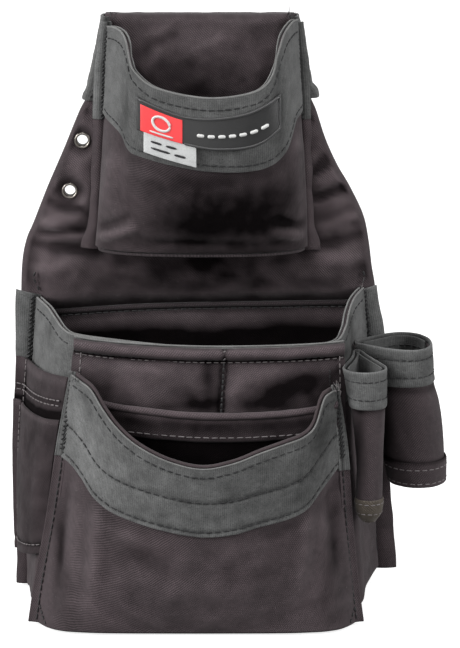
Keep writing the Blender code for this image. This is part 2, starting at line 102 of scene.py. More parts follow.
def bell(x, centre, width):
    return math.exp(-(((x - centre) / width) ** 2))


def spread(start, end, count):
    """count + 1 even values from start to end."""
    return [mix(start, end, i / count) for i in range(count + 1)]


def ease(x, table):
    """The smooth curve through a table of (x, value), level beyond its ends."""
    if x <= table[0][0]:
        return table[0][1]
    if x >= table[-1][0]:
        return table[-1][1]
    last = len(table) - 1
    i = next(i for i in range(last) if x <= table[i + 1][0])
    (x0, y0), (x1, y1) = table[i], table[i + 1]
    before, after = table[max(i - 1, 0)], table[min(i + 2, last)]
    slope0 = (y1 - before[1]) / (x1 - before[0])
    slope1 = (after[1] - y0) / (after[0] - x0)
    width = x1 - x0
    t = (x - x0) / width
    return ((1 + 2 * t) * (1 - t) ** 2 * y0 + t * (1 - t) ** 2 * width * slope0
            + t * t * (3 - 2 * t) * y1 + t * t * (t - 1) * width * slope1)


def spline(values, fraction):
    """A value on the smooth curve through evenly spaced numbers or vectors."""
    last = len(values) - 1
    x = clamp(fraction) * last
    i = min(int(x), last - 1)
    t = x - i
    here, following = values[i], values[i + 1]
    before = values[i - 1] if i else here * 2 - following
    after = values[i + 2] if i + 2 <= last else following * 2 - here
    return 0.5 * ((2 * here) + (following - before) * t
                  + (2 * before - 5 * here + 4 * following - after) * t * t
                  + (3 * here - before - 3 * following + after) * t ** 3)


def fbm(x, y, z=0.0):
    """Three octaves of noise."""
    total, strength = 0.0, 1.0
    spot = Vector((x, y, z))
    for _ in range(3):
        total += noise.noise(spot) * strength
        spot = spot * 2.03
        strength *= 0.5
    return total


def world(x, depth, z):
    """World position.  The pouch hangs a little skewed: its lower right corner sits higher,
    and so, less, does its lower left."""
    if z < -215 and x > 10 and depth < 74:
        z += 9.5 * smooth(-z, 215, 284) * smooth(x, 10, 108) * (1 - smooth(depth, 50, 74))
    if z < -258 and x < -60 and 24 < depth < 73:
        z += (5.0 * smooth(-z, 258, 284) * smooth(depth, 24, 46) * (1 - smooth(depth, 66, 73))
              * smooth(-x, 60, 90))
    return Vector((x * MM, (8.0 - depth) * MM, z * MM))


# ------------------------------------------------------------------ bumps and painted light and shade
def folds(x, z, table):
    """Height of soft folds that fade at both ends: (x1, z1, x2, z2, width, height)."""
    total = 0.0
    for x1, z1, x2, z2, width, height in table:
        run_x, run_z = x2 - x1, z2 - z1
        length = math.hypot(run_x, run_z)
        along = ((x - x1) * run_x + (z - z1) * run_z) / length ** 2
        away = abs((x - x1) * run_z - (z - z1) * run_x) / length
        if -0.15 <= along <= 1.15 and away <= 3.2 * width:
            fade = smooth(along, -0.12, 0.25) * (1 - smooth(along, 0.7, 1.12))
            total += height * fade * bell(away, 0, width)
    return total


def shade(x, z, table):
    """Soft patches of painted light and shade, darker below 0: (x, z, half width, half height,
    turn in degrees, amount).
    """
    total = 0.0
    for centre_x, centre_z, half_width, half_height, degrees, amount in table:
        off_x, off_z = x - centre_x, z - centre_z
        turn = math.radians(degrees)
        along = off_x * math.cos(turn) + off_z * math.sin(turn)
        aside = off_z * math.cos(turn) - off_x * math.sin(turn)
        reach = (along / half_width) ** 2 + (aside / half_height) ** 2
        if reach < 9:
            total += amount * math.exp(-reach)
    return total


def patches(table, base=0.0):
    """A tone of painted light and shade: a base with a table of patches over it."""
    return lambda across, down, point: base + shade(point.x, point.z, table)


def wrinkles(height, rate_x, rate_z, seed):
    """A bump of plain noise over x and z."""
    return lambda across, down, point: height * fbm(point.x * rate_x, point.z * rate_z, seed)


# ------------------------------------------------------------------ surfaces
def wall(levels):
    """A surface through levels, each (down, [points across])."""
    levels = [(down, [Vector(point) for point in points]) for down, points in levels]

    def surface(across, down):
        line = [(level, spline(points, across)) for level, points in levels]
        return Vector([ease(down, [(level, point[k]) for level, point in line])
                       for k in range(3)])
    return surface


def section(surface, left, right, top=0.0, bottom=1.0):
    """The part of a surface between four limits, as a surface."""
    return lambda across, down: surface(mix(left, right, across), mix(top, bottom, down))


def normal_at(surface, across, down, facing):
    """The surface's unit normal, on the side of facing."""
    step = 4e-3
    left, right = max(across - step, 0.0), min(across + step, 1.0)
    above, below = max(down - step, 0.0), min(down + step, 1.0)
    normal = (surface(right, down) - surface(left, down)).cross(
        surface(across, below) - surface(across, above))
    if normal.length < 1e-9:
        return facing.normalized()
    normal.normalize()
    return -normal if normal.dot(facing) < 0 else normal


def path_above(surface, spots, lift, facing=FRONT):
    """(point, normal) pairs, lifted off a surface at each (across, down) spot."""
    path = []
    for across, down in spots:
        normal = normal_at(surface, across, down, facing)
        path.append((surface(across, down) + normal * lift, normal))
    return path


def row(surface, start, end, down, lift, facing=FRONT, count=60):
    """A path across a surface; down is a number or a function of across."""
    spots = [(across, down(across) if callable(down) else down)
             for across in spread(start, end, count)]
    return path_above(surface, spots, lift, facing)


def column(surface, across, start, end, lift, facing=FRONT):
    """A path down a surface."""
    return path_above(surface, [(across, down) for down in spread(start, end, 50)], lift, facing)


class Pocket:
    """A pocket's wall as a surface, with its rim and the lower edge of its webbing band."""

    def __init__(self, levels, rim, floor, band=None):
        """rim and band: heights at even steps across; floor: one height."""
        self.surface = wall(levels)
        self.rim, self.floor, self.band = rim, floor, band

    def __call__(self, across, down):
        return self.surface(across, down)

    def down_at(self, across, z):
        top = spline(self.rim, across)
        return (top - z) / (top - self.floor)

    def below_rim(self, gap):
        return lambda across: self.down_at(across, spline(self.rim, across) - gap)

    def above_band(self, gap=0.0):
        return lambda across: self.down_at(across, spline(self.band, across) + gap)

    def under_band(self, across, point):
        return spline(self.band, across) - point.z

    def pin(self, across, down, point):
        """Held by the band, the side seams and the floor seam."""
        return max(1 - smooth(self.under_band(across, point), 0.5, 7.0),
                   1 - smooth(min(across, 1 - across), 0.0, 0.04), smooth(down, 0.95, 1.0))

    def bracket(self, x, z, low, high, steps):
        """Narrows low..high by halves round the across at which the wall meets (x, z)."""
        for _ in range(steps):
            middle_across = (low + high) / 2
            if self(middle_across, self.down_at(middle_across, z)).x < x:
                low = middle_across
            else:
                high = middle_across
        return low, high


# ------------------------------------------------------------------ materials
class Graph:
    """Short calls that add nodes to a tree; inputs are sockets or plain values."""

    def __init__(self, tree):
        self.tree = tree

    def new(self, kind, **settings):
        node = self.tree.nodes.new(kind)
        for key, value in settings.items():
            setattr(node, key, value)
        return node

    def link(self, source, target):
        self.tree.links.new(source, target)

    def put(self, target, value):
        if isinstance(value, bpy.types.NodeSocket):
            self.link(value, target)
        else:
            target.default_value = value

    def calc(self, operation, *values, clamp=False):
        node = self.new("ShaderNodeMath", operation=operation, use_clamp=clamp)
        for target, value in zip(node.inputs, values):
            self.put(target, value)
        return node.outputs[0]

    def add(self, *values, clamp=False):
        return self.calc("ADD", *values, clamp=clamp)

    def subtract(self, *values, clamp=False):
        return self.calc("SUBTRACT", *values, clamp=clamp)

    def multiply(self, *values, clamp=False):
        return self.calc("MULTIPLY", *values, clamp=clamp)

    def noise(self, vector, scale, detail=3.0, rough=0.55):
        node = self.new("ShaderNodeTexNoise")
        self.link(vector, node.inputs["Vector"])
        node.inputs["Scale"].default_value = scale
        node.inputs["Detail"].default_value = detail
        node.inputs["Roughness"].default_value = rough
        return node.outputs["Fac"]

    def ramp(self, source, start, end):
        """A grey ramp between two (position, value) stops."""
        node = self.new("ShaderNodeValToRGB")
        self.link(source, node.inputs[0])
        for element, (position, value) in zip(node.color_ramp.elements, (start, end)):
            element.position = position
            element.color = (value, value, value, 1)
        return node.outputs[0]

    def blend(self, amount, first, second, mode="MIX"):
        node = self.new("ShaderNodeMix", data_type="RGBA", blend_type=mode)
        self.put(node.inputs[0], amount)
        for index, colour in ((6, first), (7, second)):
            self.put(node.inputs[index], (*colour, 1) if isinstance(colour, tuple) else colour)
        return node.outputs[2]

    def bump(self, height, strength, distance, below=None):
        node = self.new("ShaderNodeBump")
        node.inputs["Strength"].default_value = strength
        node.inputs["Distance"].default_value = distance
        self.link(height, node.inputs["Height"])
        if below is not None:
            self.link(below, node.inputs["Normal"])
        return node.outputs[0]

    def apply_painted_shading(self, colour, gain, least):
        """Painted light and shade from the mesh's shading attribute: raised cloth is painted paler
        and hollows darker.
        """
        painted_shading = self.new("ShaderNodeAttribute", attribute_name="painted_shading").outputs["Fac"]
        painted_shade_factor = self.calc("MAXIMUM", self.add(1.0, self.multiply(painted_shading, gain)), least)
        grey = self.new("ShaderNodeCombineColor")
        for channel in grey.inputs:
            self.link(painted_shade_factor, channel)
        return self.blend(1.0, colour, grey.outputs[0], mode="MULTIPLY"), painted_shade_factor


def start_material(name):
    material = bpy.data.materials.new(name)
    material.use_nodes = True
    tree = material.node_tree
    return material, Graph(tree), tree.nodes["Principled BSDF"]


def weave_axes(graph):
    """The weave map, in mm, and a node that splits it into x and y."""
    weave = graph.new("ShaderNodeUVMap", uv_map="weave").outputs[0]
    return weave, graph.new("ShaderNodeSeparateXYZ")


def fabric_material(name, low, high, pitch=1.02, speck=0.5):
    """Woven nylon between two colours: a twill with fuzz, dust and fading, under painted light and
    shade.

    pitch is the rib spacing in mm, speck the strength of the dust."""
    material, graph, shader = start_material(name)
    weave, split = weave_axes(graph)
    # A slight wander, in mm, keeps the threads from being ruled lines.
    wander = graph.noise(weave, scale=0.05, detail=2.0, rough=0.6)
    close = graph.noise(weave, scale=0.5, detail=1.0)
    graph.link(weave, split.inputs[0])
    x = graph.add(split.outputs[0],
                  graph.add(graph.multiply(wander, 2.4), graph.multiply(close, 0.5)))
    y = graph.add(split.outputs[1],
                  graph.subtract(graph.multiply(wander, 1.1), graph.multiply(close, 0.4)))
    # Fine diagonal ribs, each broken into short floats that step by half from rib to rib.
    across = graph.calc("DIVIDE", graph.add(x, y), pitch * 1.414)
    along = graph.calc("DIVIDE", graph.subtract(x, y), pitch * 1.7)
    rib = graph.calc("ABSOLUTE", graph.calc("SINE", graph.multiply(across, math.pi)))
    step = graph.add(along, graph.multiply(graph.calc("FLOOR", across), 0.5))
    dash = graph.calc("ABSOLUTE", graph.calc("SINE", graph.multiply(step, math.pi)))
    # The ribs' profile, with 0.42 of the height left between floats.
    height = graph.multiply(graph.calc("POWER", rib, 0.9),
                            graph.add(0.42, graph.multiply(graph.calc("POWER", dash, 0.7), 0.58)))
    # Seen at a slant the threads run together to a mean height.
    facing = graph.new("ShaderNodeLayerWeight").outputs["Facing"]
    blurred = graph.multiply(graph.subtract(facing, 0.045), 5.5, clamp=True)
    height = graph.add(graph.multiply(height, graph.subtract(1.0, blurred)),
                       graph.multiply(blurred, 0.42))
    big = graph.noise(weave, scale=0.03)
    middling = graph.noise(weave, scale=0.35)
    fine = graph.noise(weave, scale=2.6, detail=2.0)
    # Paleness: the threads and their fuzz, then broad and middling fading about its mean.
    pale = graph.add(graph.multiply(graph.calc("POWER", height, 1.4), 0.62),
                     graph.multiply(fine, 0.5))
    pale = graph.add(pale, graph.multiply(graph.subtract(big, 0.5), 0.6))
    pale = graph.add(pale, graph.multiply(graph.subtract(middling, 0.5), 0.35), clamp=True)
    colour = graph.blend(pale, low, high)
    if speck:
        # Small dots of dust in some of the cells.
        dust = graph.new("ShaderNodeTexVoronoi", feature="F1")
        dust.inputs["Scale"].default_value = 0.42
        graph.link(weave, dust.inputs["Vector"])
        dot = graph.calc("LESS_THAN", dust.outputs["Distance"], 0.13)
        keep = graph.calc("GREATER_THAN", graph.noise(weave, scale=0.5, detail=1.0), 0.56)
        colour = graph.blend(graph.multiply(graph.multiply(dot, keep), 0.3 * speck), colour,
                             (0.3, 0.27, 0.27))
    # Painted shade in hollows and painted light on raised cloth; it also scales the sheen and
    # specular below.
    colour, painted_shade_factor = graph.apply_painted_shading(colour, gain=0.9, least=0.1)
    graph.link(colour, shader.inputs["Base Color"])
    # Thread tops are a little glossier than the gaps.
    graph.link(graph.subtract(0.88, graph.multiply(height, 0.2)), shader.inputs["Roughness"])
    graph.link(graph.multiply(painted_shade_factor, 0.12), shader.inputs["Sheen Weight"])
    shader.inputs["Sheen Roughness"].default_value = 0.5
    graph.link(graph.multiply(painted_shade_factor, 0.28), shader.inputs["Specular IOR Level"])
    normal = graph.bump(graph.add(height, graph.multiply(fine, 0.4)), strength=0.55,
                        distance=0.00035)
    normal = graph.bump(middling, strength=0.25, distance=0.0008, below=normal)
    graph.link(normal, shader.inputs["Normal"])
    return material


def webbing_material(name, low, high, rib=1.15):
    """Woven webbing: ribs (spacing in mm) across its length, fine warp along it, worn patches, and
    painted light and shade.
    """
    material, graph, shader = start_material(name)
    weave, split = weave_axes(graph)
    graph.link(weave, split.inputs[0])
    rib_wave = graph.calc("SINE", graph.multiply(split.outputs[0], 2 * math.pi / rib))
    warp_wave = graph.calc("SINE", graph.multiply(split.outputs[1], 2 * math.pi / 0.8))
    ribs = graph.multiply(graph.add(rib_wave, 1.0), 0.5)
    warp = graph.multiply(graph.add(warp_wave, 1.0), 0.5)
    height = graph.add(graph.multiply(ribs, 0.6), graph.multiply(warp, 0.4))
    blot = graph.noise(weave, scale=0.14, detail=4.0, rough=0.65)
    fine = graph.noise(weave, scale=2.2, detail=2.0)
    worn = graph.ramp(graph.noise(weave, scale=0.5, detail=4.0, rough=0.7),
                      start=(0.5, 0.0), end=(0.72, 1.0))
    # Paleness: threads, fuzz and blots, less dark pits.
    pale = graph.add(graph.multiply(height, 0.3), graph.multiply(fine, 0.5))
    pale = graph.add(pale, graph.multiply(graph.subtract(blot, 0.42), 0.9), clamp=True)
    pits = graph.ramp(graph.noise(weave, scale=1.1, rough=0.8),
                      start=(0.36, 1.0), end=(0.44, 0.0))
    pale = graph.subtract(pale, graph.multiply(pits, 0.35), clamp=True)
    colour = graph.blend(pale, low, high)
    colour = graph.blend(graph.multiply(worn, 0.16), colour, (0.26, 0.26, 0.255))
    # Painted shade in hollows and painted light on raised webbing; it also scales the sheen and
    # specular below.
    colour, painted_shade_factor = graph.apply_painted_shading(colour, gain=0.8, least=0.15)
    graph.link(colour, shader.inputs["Base Color"])
    shader.inputs["Roughness"].default_value = 0.78
    graph.link(graph.multiply(painted_shade_factor, 0.16), shader.inputs["Sheen Weight"])
    graph.link(graph.multiply(painted_shade_factor, 0.33), shader.inputs["Specular IOR Level"])
    normal = graph.bump(height, strength=0.4, distance=0.0003)
    normal = graph.bump(blot, strength=0.3, distance=0.0012, below=normal)
    graph.link(normal, shader.inputs["Normal"])
    return material


def plain_material(name, colour, rough, grain, scale, spread=0.25, metal=0.0):
    """Moulded, metal or thread finish.

    grain is the bump height in metres, scale the grain per mm, spread the tone variation."""
    material, graph, shader = start_material(name)
    place = graph.new("ShaderNodeTexCoord").outputs["Object"]
    in_mm = graph.new("ShaderNodeVectorMath", operation="SCALE")
    graph.link(place, in_mm.inputs[0])
    in_mm.inputs["Scale"].default_value = 1000.0
    tone = graph.noise(in_mm.outputs[0], scale=scale * 0.35, detail=4.0)
    fine = graph.noise(in_mm.outputs[0], scale=scale * 3.0, detail=2.0)
    dark = tuple(c * (1 - spread) for c in colour)
    light = tuple(min(1.0, c * (1 + spread)) for c in colour)
    graph.link(graph.blend(tone, dark, light), shader.inputs["Base Color"])
    graph.link(graph.add(rough - 0.06, graph.multiply(tone, 0.14)), shader.inputs["Roughness"])
    shader.inputs["Metallic"].default_value = metal
    graph.link(graph.bump(fine, strength=0.5, distance=grain), shader.inputs["Normal"])
    return material


FABRIC = fabric_material("nylon_face", low=(0.0045, 0.0033, 0.0038), high=(0.091, 0.067, 0.074))
# A darker copy of the nylon: painted shade for cloth inside pockets and under overhangs.
SHADED_FABRIC = fabric_material("nylon_painted_shade", low=(0.003, 0.0022, 0.0026), high=(0.06, 0.045, 0.05),
                        speck=0.2)
WORN = fabric_material("nylon_worn_tip", low=(0.02, 0.016, 0.012), high=(0.15, 0.125, 0.1),
                       speck=0.6)
WEBBING = webbing_material("webbing_grey", low=(0.024, 0.0245, 0.0245),
                           high=(0.155, 0.157, 0.156))
# A darker copy of the webbing: painted shade for webbing on the shaded sides.
SHADED_WEBBING = webbing_material("webbing_shaded", low=(0.012, 0.012, 0.012),
                                high=(0.085, 0.086, 0.085))
EDGE = webbing_material("webbing_selvedge", low=(0.06, 0.06, 0.059), high=(0.27, 0.27, 0.265),
                        rib=0.9)
TAPE = fabric_material("binding_tape_weave", low=(0.012, 0.009, 0.010),
                       high=(0.085, 0.062, 0.067), pitch=0.7, speck=0)
THREAD = plain_material("thread_black", (0.013, 0.013, 0.014), rough=0.55, grain=0.00006,
                        scale=3.0, spread=0.5)
# A paler copy of the black thread: painted highlight for stitches that catch the light.
LIT_THREAD = plain_material("thread_painted_highlight", (0.15, 0.135, 0.137), rough=0.6, grain=0.00006,
                             scale=2.0, spread=0.45)
RUBBER = plain_material("label_rubber_moulded", (0.022, 0.022, 0.0225), rough=0.4,
                        grain=0.00005, scale=3.0)
RUBBER_BEAD = plain_material("label_rubber_bead", (0.05, 0.05, 0.051), rough=0.3,
                             grain=0.00003, scale=3.0)
RED = plain_material("label_red_fill", (0.86, 0.05, 0.055), rough=0.42, grain=0.00004,
                     scale=2.0, spread=0.07)
WHITE = plain_material("label_white_fill", (0.62, 0.62, 0.61), rough=0.5, grain=0.00004,
                       scale=2.0, spread=0.05)
TAG_WEAVE = webbing_material("tag_weave", low=(0.45, 0.46, 0.46), high=(0.68, 0.69, 0.69),
                             rib=0.7)
INK = plain_material("tag_ink", (0.02, 0.02, 0.022), rough=0.6, grain=0.00004, scale=2.0)
NICKEL = plain_material("eyelet_nickel", (0.3, 0.275, 0.25), rough=0.28, grain=0.00002,
                        scale=1.5, metal=1.0)
# A spare finish that no piece wears.
plain_material("foam_grey", (0.1, 0.1, 0.1), rough=0.95, grain=0.0003, scale=1.2)

# The material slot of each finish, unless a piece names another; dress() looks it up but gives it
# to no piece.
SLOTS = {
    "ballistic_fabric": (FABRIC, SHADED_FABRIC, WORN),
    "grey_webbing": (WEBBING, SHADED_WEBBING, EDGE),
    "binding_tape": (TAPE, THREAD, LIT_THREAD, INK),
    "label_rubber": (RUBBER, RUBBER_BEAD),
    "label_red": (RED,),
    "label_white": (WHITE,),
    "tag_cloth": (TAG_WEAVE,),
    "eyelet_metal": (NICKEL,),
}
SLOT_OF = {finish.name: slot for slot, finishes in SLOTS.items() for finish in finishes}


# ------------------------------------------------------------------ mesh building
def link(obj):
    bpy.context.scene.collection.objects.link(obj)
    return obj


def add_quads(bm, grid, rows, columns, weave=None, flip=False, is_smooth=True):
    """Faces over a grid of vertices, which wraps round if rows or columns reach its size.

    weave(i, j) gives the weave map's coordinates; flip turns the faces over."""
    layer = bm.loops.layers.uv["weave"] if weave else None
    for i in range(rows):
        for j in range(columns):
            corners = [(i, j), (i + 1, j), (i + 1, j + 1), (i, j + 1)]
            if flip:
                corners[1], corners[3] = corners[3], corners[1]
            face = bm.faces.new([grid[a % len(grid)][b % len(grid[0])] for a, b in corners])
            face.smooth = is_smooth
            if weave:
                for loop, corner in zip(face.loops, corners):
                    loop[layer].uv = weave(*corner)


def close_tube(bm, rings):
    bm.faces.new(rings[0][::-1])
    bm.faces.new(rings[-1])


def mesh_object(name, bm, material=None, outward=True):
    if outward:
        bmesh.ops.recalc_face_normals(bm, faces=bm.faces)
    mesh = bpy.data.meshes.new(name)
    bm.to_mesh(mesh)
    bm.free()
    if material:
        mesh.materials.append(material)
    return link(bpy.data.objects.new(name, mesh))


def discard(obj):
    mesh = obj.data
    bpy.data.objects.remove(obj, do_unlink=True)
    bpy.data.meshes.remove(mesh)


def apply_modifiers(obj):
    graph = bpy.context.evaluated_depsgraph_get()
    mesh = bpy.data.meshes.new_from_object(obj.evaluated_get(graph), depsgraph=graph)
    old = obj.data
    obj.modifiers.clear()
    obj.data = mesh
    bpy.data.meshes.remove(old)


def joint(body, next_body, start, end):
    """Two bodies and the line between them, from start to end in mm; a piece held at it rides on
    no body.
    """
    return body, next_body, tuple(world(*start)), tuple(world(*end))


def hold(obj, place):
    """place: a body name, or a joint."""
    if isinstance(place, str):
        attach(obj, place)
    else:
        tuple(place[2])
        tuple(place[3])
        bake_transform(obj)


def dress(obj, place, replaces=(), slot=None):
    if replaces:
        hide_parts(*replaces)
    slot or SLOT_OF[obj.data.materials[0].name]
    hold(obj, place)


def blur(field, radius_i, radius_j):
    """Moving average over a grid, radius in cells each way."""
    for axis, radius in ((0, radius_i), (1, radius_j)):
        radius = max(1, int(round(radius)))
        margin = [(0, 0), (0, 0)]
        margin[axis] = (radius + 1, radius)
        sums = np.cumsum(np.pad(field, margin, mode="edge"), axis=axis)
        count = field.shape[axis]
        window = 2 * radius + 1
        field = (np.take(sums, range(window, window + count), axis=axis)
                 - np.take(sums, range(count), axis=axis)) / window
    return field


def settle(surface, cells, pin, pressure, spare, frames, bend, limit):
    """Lets a front-facing sheet fill and crease as cloth between its pinned seams.

    The sheet is simulated ten times its size, with a little spare cloth.
    Returns a function: how far it moved off the surface at (across, down), in mm."""
    columns, rows = cells
    scale = 0.01
    grid = [[surface(i / columns, j / rows) for j in range(rows + 1)] for i in range(columns + 1)]
    normals = [[normal_at(surface, i / columns, j / rows, FRONT) for j in range(rows + 1)]
               for i in range(columns + 1)]
    bm = bmesh.new()
    verts, pins = [], []
    for i in range(columns + 1):
        verts.append([])
        for j in range(rows + 1):
            point = grid[i][j]
            weight = clamp(pin(i / columns, j / rows, point))
            start = 0.25 * noise.noise(
                Vector((point.x * 0.11, point.z * 0.13, point.y * 0.1))) * (1 - weight)
            point = point + normals[i][j] * start
            verts[-1].append(bm.verts.new(Vector((point.x, -point.y, point.z)) * scale))
            pins.append(weight)
    add_quads(bm, verts, columns, rows, is_smooth=False)
    # The pressure pushes along the normals, so they have to face forward.
    bm.faces.ensure_lookup_table()
    bm.normal_update()
    if bm.faces[len(bm.faces) // 2].normal.dot(Vector((0, -1, 0))) < 0:
        bmesh.ops.reverse_faces(bm, faces=bm.faces)
    sheet = mesh_object("settling", bm, outward=False)
    group = sheet.vertex_groups.new(name="pin")
    for k, weight in enumerate(pins):
        if weight > 0:
            group.add([k], weight, "REPLACE")
    modifier = sheet.modifiers.new("cloth", "CLOTH")
    settings = modifier.settings
    settings.quality = 4
    settings.mass = 0.25
    settings.tension_stiffness = settings.compression_stiffness = 14
    settings.shear_stiffness = 6
    settings.bending_stiffness = bend
    settings.tension_damping = settings.compression_damping = 8
    settings.air_damping = 4
    settings.vertex_group_mass = "pin"
    settings.use_pressure = True
    settings.uniform_pressure_force = pressure
    settings.shrink_min = -spare
    settings.effector_weights.gravity = 0.0
    modifier.point_cache.frame_start = 1
    modifier.point_cache.frame_end = frames + 2
    scene = bpy.context.scene
    frame_before = scene.frame_current
    for frame in range(1, frames + 1):
        scene.frame_set(frame)
    settled = sheet.evaluated_get(bpy.context.evaluated_depsgraph_get())
    places = np.empty(len(sheet.data.vertices) * 3)
    settled.data.vertices.foreach_get("co", places)
    places = places.reshape(columns + 1, rows + 1, 3) / scale
    scene.frame_set(frame_before)
    discard(sheet)
    field = np.zeros((columns + 1, rows + 1))
    for i in range(columns + 1):
        for j in range(rows + 1):
            point, normal, place = grid[i][j], normals[i][j], places[i, j]
            field[i, j] = ((place[0] - point.x) * normal.x + (-place[1] - point.y) * normal.y
                           + (place[2] - point.z) * normal.z)
    field = np.clip(np.nan_to_num(blur(field, 2, 2)), limit[0], limit[1])

    def moved(across, down):
        x, y = clamp(across) * columns, clamp(down) * rows
        i, j = min(int(x), columns - 1), min(int(y), rows - 1)
        x, y = x - i, y - j
        return (field[i, j] * (1 - x) * (1 - y) + field[i + 1, j] * x * (1 - y)
                + field[i, j + 1] * (1 - x) * y + field[i + 1, j + 1] * x * y)
    return moved


def cloth(name, surface, cells, thick, material, place, facing=FRONT, bump=None, tone=None,
          lift=0.0, start=0.0, end=1.0, replaces=(), slot=None, round_edge=0.45):
    """A woven sheet lifted off a surface by lift + bump, with rounded edges.

    It runs down from start to end; end is a number or a function of across.  The weave map
    is in mm; the painted shading it carries holds the tone and how far each point stands above
    its surroundings: painted light on raised cloth, painted shade in hollows."""
    columns, rows = cells
    points = np.empty((columns + 1, rows + 1, 3))
    heights = np.zeros((columns + 1, rows + 1))
    tones = np.zeros((columns + 1, rows + 1))
    for i in range(columns + 1):
        across = i / columns
        bottom = end(across) if callable(end) else end
        for j in range(rows + 1):
            down = mix(start, bottom, j / rows)
            point = surface(across, down)
            if bump:
                heights[i, j] = bump(across, down, point)
            offset = lift + heights[i, j]
            if offset:
                point = point + normal_at(surface, across, down, facing) * offset
            points[i, j] = point
            if tone:
                tones[i, j] = tone(across, down, point)
    steps_i = np.linalg.norm(np.diff(points, axis=0), axis=2)
    steps_j = np.linalg.norm(np.diff(points, axis=1), axis=2)
    along_i = np.concatenate([[0], np.cumsum(steps_i.mean(axis=1))])
    along_j = np.concatenate([np.zeros((columns + 1, 1)), np.cumsum(steps_j, axis=1)], axis=1)
    around = blur(heights, 7.0 / max(steps_i.mean(), 0.05), 7.0 / max(steps_j.mean(), 0.05))
    # Painted light and shade: the tone, plus raised cloth paler and hollows darker.
    painted_shading = np.clip(np.clip((heights - around) / 2.0, -0.45, 0.45) + tones, -1.2, 1.2)
    bm = bmesh.new()
    bm.loops.layers.uv.new("weave")
    layer = bm.verts.layers.float.new("painted_shading")
    verts = [[bm.verts.new(world(*point)) for point in line] for line in points]
    for i in range(columns + 1):
        for j in range(rows + 1):
            verts[i][j][layer] = painted_shading[i, j]
    add_quads(bm, verts, columns, rows, weave=lambda i, j: (along_i[i], along_j[i, j]))
    obj = mesh_object(name, bm, material, outward=False)
    solid = obj.modifiers.new("thickness", "SOLIDIFY")
    solid.thickness = thick * MM
    solid.offset = 0.0
    solid.use_quality_normals = True
    bevel = obj.modifiers.new("edge", "BEVEL")
    bevel.width = round_edge * MM
    bevel.segments = 2
    bevel.limit_method = "ANGLE"
    bevel.angle_limit = math.radians(60)
    apply_modifiers(obj)
    for face in obj.data.polygons:
        face.use_smooth = True
    dress(obj, place, replaces, slot)


def stitch_template():
    """One thread stitch: a capsule along +X, 1 long and 1 thick."""
    # Stations along the stitch: (x, share of the full radius).
    stations = [(-0.5, 0.25), (-0.44, 0.75), (-0.28, 1.0), (0.0, 0.92), (0.28, 1.0),
                (0.44, 0.75), (0.5, 0.25)]
    sides = 6
    bm = bmesh.new()
    rings = [[bm.verts.new((x, 0.5 * share * math.cos(2 * math.pi * k / sides),
                            0.5 * share * math.sin(2 * math.pi * k / sides)))
              for k in range(sides)] for x, share in stations]
    add_quads(bm, rings, len(rings) - 1, sides, flip=True, is_smooth=False)
    close_tube(bm, rings)
    bmesh.ops.recalc_face_normals(bm, faces=bm.faces)
    bm.verts.ensure_lookup_table()
    verts = np.array([vert.co[:] for vert in bm.verts])
    faces = [[vert.index for vert in face.verts] for face in bm.faces]
    bm.free()
    return verts, faces


STITCH_VERTS, STITCH_FACES = stitch_template()


def stitches(name, paths, material, place, seed, pitch=4.6, length=3.5, radius=0.42, tilt=0.0,
             jitter=0.25):
    """Stitches along paths of (point, normal), tilted by an angle and slightly sunk."""
    sink = 0.12
    random = np.random.RandomState(seed)
    verts, faces, base = [], [], 0
    for path in paths:
        points = np.array([point[:] for point, _ in path])
        normals = np.array([normal[:] for _, normal in path])
        steps = np.linalg.norm(np.diff(points, axis=0), axis=1)
        run = np.concatenate([[0], np.cumsum(steps)])
        count = max(1, int(run[-1] / pitch))
        step = run[-1] / count
        for k in range(count):
            centre = (k + 0.5) * step + random.uniform(-jitter, jitter)
            first, second = [
                np.array([np.interp(clamp(spot, 0, run[-1]), run, points[:, c]) for c in range(3)])
                for spot in (centre - length / 2, centre + length / 2)]
            normal = np.array([np.interp(clamp(centre, 0, run[-1]), run, normals[:, c])
                               for c in range(3)])
            axis = second - first
            size = np.linalg.norm(axis)
            if size < 0.4:
                continue
            axis /= size
            normal -= axis * normal.dot(axis)
            normal /= np.linalg.norm(normal) or 1
            side = np.cross(normal, axis)
            angle = tilt + random.uniform(-0.06, 0.06)
            axis = axis * math.cos(angle) + side * math.sin(angle)
            side = np.cross(normal, axis)
            middle_point = (first + second) / 2 + normal * (radius * 0.55 - sink)
            thick = radius * random.uniform(0.9, 1.1)
            verts.append(middle_point + np.outer(STITCH_VERTS[:, 0] * size, axis)
                         + np.outer(STITCH_VERTS[:, 1] * 2 * thick, side)
                         + np.outer(STITCH_VERTS[:, 2] * 1.7 * thick, normal))
            faces.extend([[i + base for i in face] for face in STITCH_FACES])
            base += len(STITCH_VERTS)
    mesh = bpy.data.meshes.new(name)
    mesh.from_pydata([tuple(world(*point)) for point in np.concatenate(verts)], [], faces)
    mesh.update()
    for face in mesh.polygons:
        face.use_smooth = True
    mesh.materials.append(material)
    obj = link(bpy.data.objects.new(name, mesh))
    bm = bmesh.new()
    bm.from_mesh(mesh)
    bmesh.ops.recalc_face_normals(bm, faces=bm.faces)
    bm.to_mesh(mesh)
    bm.free()
    dress(obj, place)


